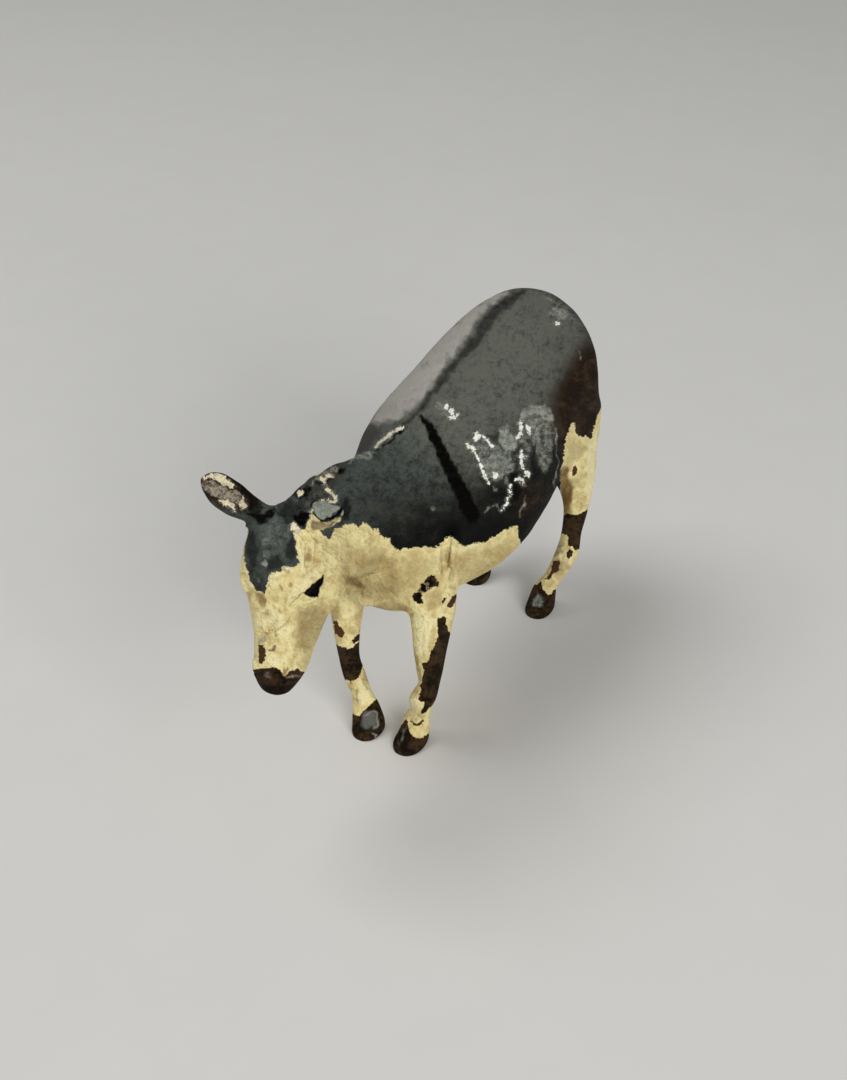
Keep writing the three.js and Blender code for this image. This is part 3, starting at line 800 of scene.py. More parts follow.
# %% Brown-black bars, hooves and muzzle
umber_areas = {
    "muzzle": [
        (244, 672), (256, 669.5), (260, 668.5), (264, 668), (270, 667.5), (276, 667.8), (280, 670),
        (282, 673), (283.5, 677), (286, 676), (288, 673), (291, 671), (294, 671), (296, 669),
        (298, 667.5), (300, 671), (303, 672), (314, 668), (314, 690), (290, 706), (262, 704),
        (244, 690)],
    "nose_patch": [
        (258.5, 645), (262, 645), (265, 648), (266, 653), (265, 659), (262.5, 664), (259.5, 663.5),
        (258.5, 656)],
    "elbow_rear": [
        (456, 593.5), (458, 595), (456, 600), (453.5, 606), (449, 608), (446.5, 606.5), (449, 602.5),
        (453.5, 595)],
    "elbow_nick": [(442, 599), (445, 597), (447.5, 597.5), (446.5, 600), (444, 601.5), (442.5, 605)],
    "elbow_upper": [
        (430, 575.5), (434, 575), (436.5, 577), (434, 581), (438.5, 582), (439.5, 586.5), (434, 586),
        (431, 589), (428, 586.5), (429, 582), (425, 582), (426, 579)],
    "elbow_middle": [(420, 584), (424, 583), (426, 587), (429, 590), (425, 592), (421, 590.5)],
    "elbow_lower": [
        (419, 592), (423, 594), (420.5, 597), (423.5, 602), (421.5, 606), (417, 603), (412, 598.5),
        (413.5, 593.5)],
    "front_left_bar": [
        (438, 618), (441, 617.5), (445, 616), (446.5, 619), (446, 624), (448, 630), (449.5, 633),
        (456, 634), (452, 690), (438, 699), (434, 703), (430, 707), (427, 711), (424, 713.5),
        (421.5, 714), (421, 710), (424, 706), (424, 702.5), (420.5, 701), (418.8, 699), (420, 694),
        (421, 690), (420.5, 685), (422, 681), (422, 677), (424, 673), (423.5, 667), (421, 662.5),
        (425, 662.5), (428, 661.5), (430, 658), (430, 654), (432, 651), (435, 645), (437, 639),
        (438, 634), (437, 626)],
    "front_left_mark": [
        (411, 721, 0.8), (414, 723.5, 1.1), (417, 725.5, 1.2), (420, 723, 1.1), (423, 720.5, 0.8)],
    "front_left_hoof": [
        (402, 724), (406, 717.5), (408, 722), (408.5, 729), (411, 735), (415, 738), (419, 738.5),
        (423, 737.5), (427, 734), (436, 735), (436, 762), (384, 762), (388, 735)],
    "front_right_bar": [
        (333, 643), (341, 646.5), (345, 648), (350, 648.5), (354, 647), (355, 644), (359, 641.5),
        (367, 639), (367, 664), (362, 667.5), (360.5, 672), (358.5, 677.5), (355, 679.8),
        (352, 680.5), (351, 684), (349.5, 680), (346, 680), (340, 684), (334, 660)],
    "front_right_brown": [
        (333, 620), (337, 621.5), (339, 626), (342, 627.5), (344, 632), (343.5, 637), (340, 637.5),
        (335, 633)],
    "front_right_spot": [
        (364, 633), (358, 634), (355, 637), (352.5, 640), (353, 643.5), (356, 642), (364, 640)],
    "front_right_hoof": [
        (346, 712), (353.5, 713.5), (356.5, 715.8), (359, 715.5), (362, 712.5), (366, 709),
        (370, 705), (374, 701), (378, 698), (392, 700), (392, 748), (342, 748)],
    "hind_left_bar": [
        (558, 514.5), (563, 515), (568, 513.5), (574, 514.5), (580, 514.5), (584, 511.5), (594, 508),
        (588, 540), (580, 549), (575, 550), (572, 547), (569, 545.5), (567, 543), (569, 538.5),
        (567, 535), (562, 533.5), (554, 533)],
    "hind_left_spot": [(570, 549), (572.5, 551), (572, 556), (569, 559.5), (566.5, 557), (566, 552.5)],
    "hind_left_brown": [
        (553, 561), (559, 560), (560, 564), (558.5, 570), (556, 573), (552.5, 571.5), (551.5, 566)],
    "hind_left_pastern": [
        (545, 579), (548.5, 574), (551, 571), (554, 572.5), (552, 576), (549.5, 579.5)],
    "hind_left_hoof": [
        (520, 592), (541, 582), (542, 588), (545, 592), (548, 594.5), (551, 593.5), (553, 590.5),
        (566, 588), (566, 632), (514, 632)],
    "thigh_spot": [
        (573, 467), (575.5, 465.5), (577.5, 468), (577, 472.5), (574, 477), (572, 476), (572.5, 471)]}
print(len(umber_areas), "brown-black areas")

# %% [markdown]
# ## Wear
# Chips show white filler or the cream below. Scuffs are a grey haze where the charcoal was rubbed
# through, and some of the same soft marks are painted highlights: on the facets of the forehead, the
# fold of the crest, the top edge of the rump, the nostril, the lip and the hooves. Besides the black
# stripes and the eye, the dark marks are mostly painted shadow in hollows, creases and folds and
# under ridges. Brown stains are partly dirt and old varnish and partly painted shade under the chest
# and throat and along the neck, jaw, belly and thigh. The far side is worn in its own places, so its
# wear is read a little to one side of the mirror image. The pale patch on the right flank, a painted
# sheen with some real bleaching, shows over the back, so it has an outline of its own, which is
# carried on past the horizon.

# %% Chips down to the pale ground
chips = {
    "withers_upper": [(446, 405.5, 2.2), (447, 407.5, 2.2)],
    "withers_middle": [(451, 410.5, 2.6), (452, 412.5, 2.4)],
    "withers_lower": [
        (449, 416.5), (453, 415.5), (458, 413.5), (459, 416), (455, 419), (450.5, 419.5)],
    "flank_white": [
        (473.5, 441), (474.5, 434), (477, 431), (480, 433), (482, 436.5), (479.5, 440), (476, 442.5)],
    "flank_streak": [(483, 436, 1.0), (487, 440, 1.3), (490, 443.5, 1.4), (492.5, 446, 1.0)],
    "flank_left": [
        (467, 445, 1.4), (471, 447, 2.2), (474, 451, 1.5), (476.5, 456, 1.0), (479, 461, 0.6)],
    "flank_left_low": [(480.5, 464, 1.0), (482, 470, 1.3), (485, 477, 1.4), (489, 483, 1.0)],
    "flank_c_limb": [
        (519.5, 422, 1.8), (521, 427, 1.7), (521, 432, 1.5), (519, 437.5, 2.0), (517, 438, 1.4)],
    "flank_c_right": [(525.5, 425), (529.5, 426), (530.5, 431), (530, 436), (528.2, 437), (527, 432)],
    "flank_branch": [(521, 451, 1.2), (520.5, 457, 1.4), (521.5, 463, 1.5), (523, 469, 1.0)],
    "flank_twig": [(521, 457, 1.0), (526, 457, 1.2)],
    "flank_dot": [(495.2, 473, 2.1), (495.8, 477, 1.9)],
    "flank_fleck": [(524, 472), (528, 470.5), (531, 473), (529, 476.5), (525, 475.5)],
    "flank_curve": [(515.5, 480, 1.2), (519, 478.8, 1.6), (522, 480.8, 1.7), (523.5, 484.5, 1.0)],
    "flank_tail": [
        (511, 485, 0.8), (509.5, 489, 1.0), (511, 494, 1.3), (507, 499, 0.8), (507, 504, 0.7),
        (502, 510, 0.8)],
    "rump_spot": [(557, 323, 2.0), (558, 324, 1.8)],
    "crest_ridge": [
        (375, 447, 1.2), (380, 442, 1.5), (386, 437, 1.6), (392, 433, 1.7), (398, 429.5, 2.0),
        (403, 428, 1.8)],
    "crest_left": [(321, 477.5, 1.2), (323.5, 480, 2.2), (324, 482, 1.5)],
    "crest_middle": [(328.5, 475.5, 1.8), (332, 476.5, 1.7)],
    "crest_upper": [(317, 474, 1.3), (322, 471.5, 1.2)],
    "mane": [(297, 490.5), (302, 489.5), (304, 491.5), (302.5, 495.5), (299, 496.5), (297, 494)],
    "forelock": [
        (291, 524.5), (294, 522.8), (297, 525), (300.5, 529), (299, 533), (296.5, 534.5),
        (294, 531.5), (291, 529.5)],
    "stump_rim": [
        (311.5, 512, 1.2), (314, 508, 1.4), (317, 504.8, 1.4), (322, 501.8, 1.5), (328, 500.6, 1.4),
        (334, 502, 1.3)],
    "stump_strip": [
        (335, 501, 1.8), (335, 497, 1.7), (332, 493.5, 1.8), (329, 491, 1.8), (326.5, 489, 1.6)],
    "ear_upper": [
        (203, 477), (208, 474), (222, 474), (226, 477), (226, 480), (231, 482), (235, 485.5),
        (232, 488), (227, 487), (222, 486), (220, 482), (216, 479), (210, 478), (205, 479)],
    "ear_lower": [
        (219, 500), (224, 499.5), (230, 502), (233, 503), (236, 508), (235.5, 511.5), (233, 511),
        (230, 507), (222, 504)],
    "ear_root": [
        (240, 501), (242.5, 496.5), (244.5, 498), (244.5, 502), (247, 506), (245, 508.5),
        (241.5, 508.5), (239.5, 506)]}
print(len(chips), "chips")

# %% Scuffs with painted highlights, black with painted shadow, stains with painted shade: strength, softness and mark
# Rubbed paint, and painted highlights: forehead facets, crest fold, rump top, nostril, lip, hooves.
scuffs_and_highlights = {
    "withers": (0.4, 3.0, [
        (434, 402), (441, 400), (446, 404), (449, 412), (448, 418), (443, 416), (438, 411)]),
    "flank_patch": (0.85, 3.0, [
        (499.5, 430), (507, 426), (509, 431), (512, 436), (516, 440), (518, 447), (511, 452),
        (505, 454), (500.5, 446)]),
    "flank_haze": (0.5, 2.5, [
        (475, 446), (482, 442), (490, 447), (498, 445), (505, 452), (512, 456), (516, 463),
        (515, 472), (506, 478), (497, 482), (489, 480), (483, 472), (480, 460), (476, 455)]),
    "flank_rear": (0.85, 3.0, [
        (521, 420, 3), (526, 413, 4), (533, 409.5, 5), (541, 409.5, 5.5), (547, 413.5, 5),
        (550, 420, 3.5)]),
    "flank_rear_low": (0.55, 5.0, [
        (525, 416), (548, 414), (553, 430), (554, 448), (550, 462), (545, 474), (540, 470),
        (536, 456), (532, 440)]),
    "stump_ledge": (0.45, 2.0, [
        (312, 524, 1.6), (322, 525, 2.0), (333, 521.5, 1.8), (340, 518.5, 1.2)]),
    "flank_between": (0.45, 2.0, [(519, 440), (527, 438), (531, 446), (529, 455), (523, 450)]),
    "fold_line": (0.6, 0.9, [
        (554, 425, 0.8), (556.5, 440, 0.8), (558, 460, 0.8), (556.5, 475, 0.8), (554, 487, 0.7)]),
    "flank_dots": (0.6, 1.2, [(505.5, 476, 1.2), (507, 479, 1.4), (506.5, 483, 1.0)]),
    "flank_low_dot": (0.4, 1.6, [(494, 486, 1.6), (496, 490, 1.6)]),
    "flank_arc": (0.6, 1.0, [(486.5, 511, 0.8), (489, 506.8, 1.0), (492.5, 506, 0.8)]),
    "flank_arc_right": (0.6, 1.0, [(494, 506, 0.8), (498, 505.5, 0.9), (501, 509, 0.8)]),
    "flank_pink": (0.55, 1.2, [(527, 496, 0.8), (525, 503, 1.0), (521, 510, 1.1), (519, 516, 0.8)]),
    "shoulder_dot": (0.35, 1.6, [(432, 508, 2.0), (434, 510, 2.0)]),
    "rump": (0.5, 2.0, [
        (548, 313), (551, 309), (556, 307), (563, 307), (568, 311), (567, 317), (562, 321),
        (556, 322)]),
    "rump_top": (0.35, 3.0, [
        (534, 292), (548, 296), (560, 303), (572, 315), (578, 325), (572, 322), (560, 310),
        (545, 301)]),
    "rump_line": (0.6, 1.0, [(580, 352, 1.0), (581, 356, 1.2), (580.5, 360, 1.0)]),
    "crest": (0.6, 2.0, [
        (308, 487), (316, 477), (322, 471), (332, 467), (340, 466), (336, 472), (328, 476),
        (318, 481), (312, 488)]),
    "crest_fold": (0.65, 1.5, [
        (346, 463), (352, 459), (358, 454), (366, 450), (372, 449.5), (377, 453), (372, 455.5),
        (369, 461), (365, 461), (363, 458), (357, 459), (351, 463)]),
    "crest_end": (0.4, 3.0, [(374, 408), (384, 402), (396, 404), (402, 410), (392, 416), (380, 418)]),
    "temple": (0.25, 3.0, [(310, 492), (322, 486), (326, 496), (314, 503), (305, 508), (300, 504)]),
    "forehead_upper": (0.5, 1.3, [
        (263.5, 537), (266, 537.5), (268, 542), (268.5, 547), (265, 547), (263, 543)]),
    "forehead_middle": (0.4, 1.6, [
        (261, 551), (266, 549.5), (270, 551), (272, 556), (267, 558.5), (262, 556.5)]),
    "forehead_lower": (0.85, 1.2, [(262, 562), (266, 560.5), (268.5, 563), (265, 566), (261, 565)]),
    "forehead_left": (0.45, 1.2, [(256, 579), (258.5, 578.5), (259.5, 582), (257, 584), (255, 582)]),
    "forehead_haze": (0.22, 4.0, [
        (262, 520), (272, 515), (286, 527), (291, 536), (283, 546), (270, 549), (262, 540)]),
    "nose_grey": (0.6, 1.5, [(256, 637), (263, 636), (266.5, 640), (265, 644), (258, 643)]),
    "nostril": (0.4, 3.0, [(264, 671), (269, 670), (272, 676), (268, 680), (264, 677)]),
    "ear_inside": (0.75, 2.0, [
        (201, 483), (207, 480), (213, 480), (218, 482), (222, 487), (228, 490), (236, 490),
        (243, 494), (244, 502), (240, 503), (235, 502), (230, 501), (226, 499), (220, 498),
        (214, 497), (208, 494), (203, 489)]),
    "lip": (0.85, 1.4, [(285, 677.5, 0.8), (290, 676.8, 1.2), (295, 675.5, 1.4), (299, 675, 0.9)]),
    "hoof_fleck": (0.6, 1.2, [(373, 734), (377, 733), (379, 736), (375, 738)]),
    "front_left_toe": (0.45, 2.5, [
        (398, 742), (402, 733), (405, 725), (407, 729), (404, 739), (400, 746)]),
    "hind_shank": (0.4, 2.5, [(553, 552), (557, 541), (562, 536), (566, 541), (562, 550), (558, 558)]),
    "hind_hoof": (0.58, 4.0, [(531, 600), (538, 592), (545, 597), (543, 606), (534, 607)])}
# Black stripes over the back and shoulder and the eye; most others are painted shadow in hollows, creases
# and folds, under ridges and under the muzzle.
hollows = {
    "ear_root": (1.0, 2.0, [
        (244, 511), (256, 514), (264, 513), (270, 510), (275, 511), (271, 518), (265, 524),
        (259, 525), (254, 519)]),
    "forelock": (0.6, 2.5, [
        (278, 511), (283, 503), (290, 500), (299, 503), (304, 509), (298, 516), (294, 522),
        (287, 524), (282, 520)]),
    "beside_forelock": (1.0, 1.8, [
        (294, 517), (301, 513), (310, 512), (308, 521), (305, 529), (299, 526), (295, 522)]),
    "blaze_right": (0.62, 2.2, [
        (291, 534), (296, 541), (297, 556), (292, 560), (287, 556), (284, 551), (287, 543)]),
    "blaze_low": (0.56, 2.2, [
        (270, 560), (277, 556), (283, 561), (282, 567), (276, 570), (269, 571.5), (266, 568)]),
    "stump_shadow_crescent": (1.0, 1.2, [
        (326, 519, 1.2), (332, 518, 1.6), (336, 516, 1.8), (339.5, 512.5, 1.8), (341, 508, 1.2)]),
    "behind_stump": (0.7, 3.0, [(340, 505), (346, 498), (352, 508), (350, 520), (342, 521)]),
    "under_ridge": (0.9, 1.2, [
        (377, 450, 0.8), (384, 445, 1.2), (391, 440, 1.4), (398, 434.5, 1.4), (404, 429, 0.8)]),
    "crest_dark": (0.9, 2.0, [(335, 470), (342, 467), (348, 467), (344, 473), (337, 475)]),
    "crest_gaps": (0.8, 1.5, [(316, 483, 1.2), (320, 484, 1.5), (327, 481, 1.2), (333, 479, 1.2)]),
    "mane_dark": (0.85, 2.0, [(300, 487), (308, 485), (311, 491), (306, 497), (298, 499), (293, 497)]),
    "dorsal": (0.62, 3.2, [
        (524, 291, 2.5), (512, 299, 6), (497, 310, 7), (488, 322, 5.5), (481, 333, 6), (472, 345, 5),
        (460, 358, 4.5), (450, 370, 4), (440, 384, 3.5), (430, 396, 3), (421, 409, 3.5),
        (412, 418, 2.5), (404, 425, 2)]),
    "shoulder_stripe": (1.0, 2.0, [
        (422, 417, 2), (430, 428, 4.6), (440, 449, 5.4), (450, 470, 6.4), (460, 490, 7.2),
        (468, 507, 7.8), (472, 516, 7)]),
    "eye": (1.5, 1.2, [
        (323, 574), (322, 581), (321.5, 587), (320, 592), (317, 596), (311, 595.5), (303.5, 594),
        (307, 589.5), (313, 584)]),
    "elbow": (0.8, 2.5, [
        (432, 578), (437, 584), (428, 588), (421, 595), (420, 603), (414, 597), (421, 587)]),
    "muzzle_low": (0.6, 5.0, [
        (260, 686), (276, 682), (284, 685), (298, 682), (294, 692), (277, 700), (264, 696)]),
    "muzzle_top": (0.45, 4.0, [
        (258, 670), (266, 668), (278, 670), (282, 678), (274, 682), (270, 674), (260, 680)]),
    "eye_corner": (0.75, 1.3, [(305, 592.5, 0.9), (299, 597, 0.8), (293, 602, 0.5)]),
    "nostril": (0.9, 1.6, [(275, 671, 1.0), (279, 674, 1.4), (282, 678, 1.2)]),
    "mouth": (0.9, 1.4, [(283, 680, 0.8), (290, 680.5, 1.2), (298, 679, 1.0), (305, 676, 0.8)]),
    "face_crack": (0.5, 1.0, [
        (258, 632.5, 0.7), (263, 633.5, 0.8), (267, 634, 0.9), (268.5, 630.5, 0.7), (275, 629, 0.5),
        (281, 627.5, 0.3)]),
    "elbow_crease": (0.55, 1.8, [
        (441.5, 558, 0.6), (442, 566, 1.1), (443.5, 573, 1.5), (443, 577, 0.8)]),
    "forehead_left": (0.6, 3.0, [
        (246, 528), (254, 530), (258, 548), (258, 566), (252, 574), (247, 558)]),
    "rump_dark": (0.7, 1.2, [(555, 305, 1.0), (559, 307, 1.6), (563, 307, 0.8)]),
    "scuff_gap_left": (0.55, 2.5, [
        (486, 486), (494, 482), (504, 486), (506, 496), (497, 503), (489, 497)]),
    "scuff_gap_right": (0.75, 2.5, [
        (512, 470), (519, 472), (518, 477), (514, 483), (522, 490), (518, 500), (512, 498),
        (509, 480)]),
    "scuff_gap_top": (0.6, 2.0, [
        (483, 437), (490, 434), (498, 434), (499, 441), (494, 443), (488, 439)]),
    "flank_fold": (0.6, 2.5, [(532, 440), (537, 450), (536, 466), (541, 478), (534, 478), (530, 462)]),
    "ear_rim": (0.7, 2.0, [
        (226, 475), (236, 478), (248, 488), (258, 499), (266, 507), (258, 516), (250, 512),
        (247, 500), (240, 488), (232, 481)])}
# Stains, and painted shade: under the chest and throat, along neck, jaw, cheek and belly, on the thigh's
# front.
stains_and_shade = {
    "stump_ledge": (0.75, 2.0, [
        (309, 522), (316, 520), (330, 522), (340, 519), (334, 526), (322, 530), (312, 531)]),
    "neck_wash": (0.42, 12.0, [
        (336, 540), (392, 552), (440, 556), (438, 580), (404, 606), (362, 608), (338, 590)]),
    "belly_wash": (0.42, 8.0, [
        (446, 556), (500, 540), (520, 532), (500, 575), (465, 585), (446, 575)]),
    "chest_middle": (0.56, 10.0, [
        (362, 552), (398, 556), (408, 585), (400, 604), (360, 604), (345, 585)]),
    "chest_patch": (0.85, 6.0, [
        (343, 576), (350, 573), (358, 573), (361, 579), (366, 587), (366, 591), (357, 590),
        (349, 588), (344, 584)]),
    "cheek_wash": (0.58, 8.0, [
        (296, 608), (322, 602), (330, 612), (318, 638), (307, 656), (296, 648)]),
    "chest_line": (0.6, 1.6, [(404, 577), (410, 579), (407, 584), (406, 592), (403, 594), (404, 585)]),
    "chest_under": (0.6, 3.5, [(365, 604), (395, 600), (408, 604), (409, 612), (365, 612)]),
    "throat": (0.55, 3.5, [(333, 598), (340, 600), (341, 614), (336, 622), (330, 624), (331, 608)]),
    "jaw_edge": (0.5, 6.0, [
        (318, 620), (330, 610), (330, 622), (316, 645), (306, 668), (302, 662), (310, 640)]),
    "brow_groove": (0.6, 1.6, [(309, 549, 1.6), (308.5, 556, 1.8), (307, 562, 1.2)]),
    "brow_line": (0.4, 1.4, [(316, 560, 1.2), (314, 569, 1.3), (312, 575, 1.0)]),
    "left_brow": (0.7, 2.0, [
        (256, 592), (264, 594), (266, 600), (266, 607), (263, 608.5), (259, 602)]),
    "nose_side": (0.5, 2.0, [(260, 611), (268, 611), (268, 617), (261, 616)]),
    "speck_a": (0.75, 1.2, [(280, 586, 1.6), (282, 588, 1.6)]),
    "speck_b": (0.6, 1.0, [(290, 584, 1.0), (290.5, 587, 1.1)]),
    "speck_c": (0.6, 1.2, [(281, 611, 1.4), (283, 613, 1.4)]),
    "speck_d": (0.6, 1.2, [(275, 620, 1.4), (277, 622, 1.4)]),
    "speck_e": (0.55, 1.0, [(276, 633, 1.2), (277, 635, 1.2)]),
    "speck_f": (0.85, 1.2, [(270, 650, 1.6), (273, 650, 1.8), (275, 646, 1.4)]),
    "crack_right": (0.6, 1.0, [(281, 627.5, 0.8), (286, 624, 0.9), (290, 618, 0.8)]),
    "cheek_line": (0.4, 1.5, [(293, 621, 1.2), (296, 629, 1.4), (293, 640, 1.0)]),
    "cheek_spot": (0.55, 1.2, [(315, 618, 1.2), (314, 624, 1.4)]),
    "lip_edge": (0.7, 1.5, [(284, 668, 1.2), (285, 673, 1.4), (288, 668, 1.0)]),
    "under_chip": (0.5, 1.2, [(283, 570, 1.2), (286, 574, 1.0), (289, 571, 1.2)]),
    "thigh_front": (0.85, 2.0, [
        (559, 469), (566, 466), (570, 470), (570, 482), (574, 487), (572, 500), (570.5, 515),
        (561, 516), (560, 495)]),
    "thigh_middle": (0.5, 2.5, [(567, 470), (572, 478), (580, 480), (577, 486), (568, 484)]),
    "thigh_top": (0.4, 4.0, [(566, 445), (575, 440), (588, 444), (584, 458), (570, 464)]),
    "thigh_streak": (0.45, 1.2, [(580, 499, 1.0), (581, 506, 1.2), (580, 511, 0.8)]),
    "hind_fetlock": (0.5, 2.5, [(556, 560), (568, 560), (570, 568), (560, 578), (553, 576)]),
    "hind_edge": (0.6, 2.0, [(559, 546, 1.4), (561, 552, 1.2)]),
    "front_right_streak": (0.65, 1.2, [(356, 690, 0.9), (357, 696, 1.2), (357.5, 702, 0.8)]),
    "front_right_edge": (0.5, 2.5, [(361, 668), (367, 670), (370, 688), (366, 690), (362, 680)]),
    "front_right_top": (0.5, 2.0, [(349, 630), (356, 628), (359, 632), (354, 637), (350, 634)]),
    "front_left_edge": (0.55, 2.0, [
        (411, 640), (415, 650), (421, 668), (422, 682), (418, 676), (412, 660)]),
    "front_left_speck": (0.5, 1.2, [(414, 694, 1.0), (415.5, 697, 1.0)]),
    "elbow_shade": (0.45, 3.0, [(425, 590), (440, 590), (444, 604), (432, 610), (424, 604)]),
    "belly_shade": (0.45, 5.0, [
        (458, 566), (480, 560), (505, 548), (520, 534), (520, 545), (500, 575), (465, 585)])}
warm_areas = {
    "rump": (0.95, 16.0, [
        (584, 340), (572, 356), (561, 374), (553, 392), (551, 412), (557, 428), (561, 450),
        (563, 490), (612, 490), (612, 340)]),
    "crest": (0.45, 6.0, [
        (292, 492), (306, 478), (322, 468), (342, 462), (346, 472), (338, 484), (330, 500),
        (312, 506)]),
    "front_right_brown": (1.0, 3.0, [(330, 616), (340, 618), (346, 630), (345, 640), (332, 640)]),
    "hind_left_brown": (0.9, 3.0, [(550, 558), (562, 558), (562, 572), (554, 578), (542, 580)]),
    "nose_patch": (0.7, 3.0, [(256, 643), (268, 643), (268, 665), (256, 665)]),
    "nostril": (0.3, 3.0, [(261, 667), (275, 667), (275, 683), (261, 683)]),
    "lip": (0.4, 3.0, [(283, 671), (300, 669), (303, 680), (286, 684)]),
    "elbow_rear": (0.9, 3.0, [(460, 590), (460, 602), (450, 610), (444, 606)]),
    "rump_edge": (0.6, 8.0, [(586, 318), (604, 318), (608, 350), (588, 350)]),
    "flank_low": (0.5, 9.0, [
        (508, 486), (530, 480), (552, 482), (556, 496), (536, 524), (518, 528), (508, 508)]),
    "far_edge": (0.5, 4.0, [(355, 452), (362, 430), (374, 424), (382, 430), (372, 445), (360, 456)]),
    "ear": (0.85, 5.0, [
        (192, 470), (226, 466), (250, 482), (262, 500), (254, 508), (240, 514), (220, 508),
        (196, 494)]),
    "neck_low": (0.25, 8.0, [(348, 500), (400, 490), (440, 500), (440, 545), (380, 530), (345, 522)])}
# Painted highlights on the lit forms of the cream, and a painted glint on the hooves.
painted_highlights = {
    "hoof_oval": (0.4, 3.0, [
        (361, 724), (361, 717), (364, 713), (369, 711), (374, 712), (377, 716), (378, 722),
        (375, 728), (369, 730), (364, 728)]),
    "hoof_ring": (0.85, 1.6, [
        (365.5, 717, 0.5), (369, 712.5, 0.9), (373, 711, 1.1), (376.5, 713.5, 1.1), (378, 718.5, 1.2),
        (377.5, 724, 1.2), (375, 729, 0.8)]),
    "forehead": (0.05, 2.0, [
        (256, 521), (272, 513), (290, 527), (291, 534), (283, 545), (270, 557), (263, 548),
        (258, 534)]),
    "face": (0.35, 9.0, [(262, 590), (300, 604), (297, 630), (290, 662), (264, 662), (261, 620)]),
    "lid": (0.9, 4.0, [(287, 600, 1.5), (298, 589, 3.0), (308, 579, 3.2), (316, 572, 2.0)]),
    "brow_band": (0.8, 2.0, [(298, 536, 1.6), (299, 548, 2.2), (301.5, 563, 2.4), (304, 572, 1.6)]),
    "brow_streak": (0.5, 2.6, [(312, 540, 1.2), (312, 552, 1.5), (310, 564, 1.2)]),
    "nose_strip": (1.0, 1.2, [
        (261, 614), (265, 614), (266, 622), (265, 631), (261.5, 630), (260.5, 622)]),
    "blaze_lump": (1.0, 1.5, [(270, 578, 2.2), (273, 575.5, 2.4), (277, 575, 2.0)]),
    "blaze_lump_right": (1.0, 1.4, [(285, 569, 2.0), (291, 569.5, 1.8)]),
    "cheek": (0.5, 5.0, [(269, 609), (284, 607), (289, 618), (282, 630), (271, 629)]),
    "above_muzzle": (0.7, 2.5, [(262, 661), (272, 655), (284, 659), (281, 667), (266, 666)]),
    "front_left_upper": (0.95, 5.0, [
        (413, 612), (428, 606), (435, 620), (430, 645), (421, 658), (414, 640)]),
    "front_left_lower": (0.6, 3.0, [(408, 704), (416, 690), (421, 703), (416, 716), (408, 716)]),
    "front_right_lower": (0.7, 3.0, [(357, 684), (367, 680), (371, 694), (362, 708), (357, 704)]),
    "front_right_upper": (0.5, 3.0, [(341, 604), (357, 606), (357, 624), (346, 630)]),
    "elbow_fold": (0.9, 2.4, [(449, 540, 1.0), (452, 549, 2.0), (451.5, 560, 1.8), (448, 574, 1.0)]),
    "elbow_fold_front": (0.6, 2.4, [(440, 547, 0.8), (437.5, 556, 1.4), (437, 566, 1.0)]),
    "thigh_rear": (0.85, 4.0, [
        (587, 446), (597, 425), (602, 470), (595, 500), (586, 506), (585, 470)]),
    "hind_shank": (0.7, 3.0, [(560, 552), (574, 551), (570, 566), (560, 574)]),
    "belly_edge": (0.5, 3.0, [
        (446, 541), (452, 538), (462, 547), (490, 544), (512, 530), (508, 540), (480, 554),
        (452, 556)])}
# The right flank's painted sheen of the light, with some real bleaching.
far_flank = {
    "far_flank": (0.95, 5.0, [
        (370, 424), (380, 404), (394, 386), (430, 346), (468, 308), (496, 293), (510, 290),
        (500, 299), (487, 308), (476, 322), (462, 343), (444, 368), (430, 388), (414, 408),
        (396, 420)])}
far_flank_heights = (27.0, 34.0)
far_side_slip = np.array((46.0, -14.0))
print(len(scuffs_and_highlights), "scuffs,", len(hollows), "hollows,", len(stains_and_shade), "stains_and_shade")

# %% [markdown]
# ## Small tooling
# Lids, brows, cracks and the folds at the elbow stand a tenth or two of a millimetre above or below
# the skin. That is too little for a rod of their own, so they are strokes too. Each vertex is later
# lifted along its normal by the height that the stroke has there.

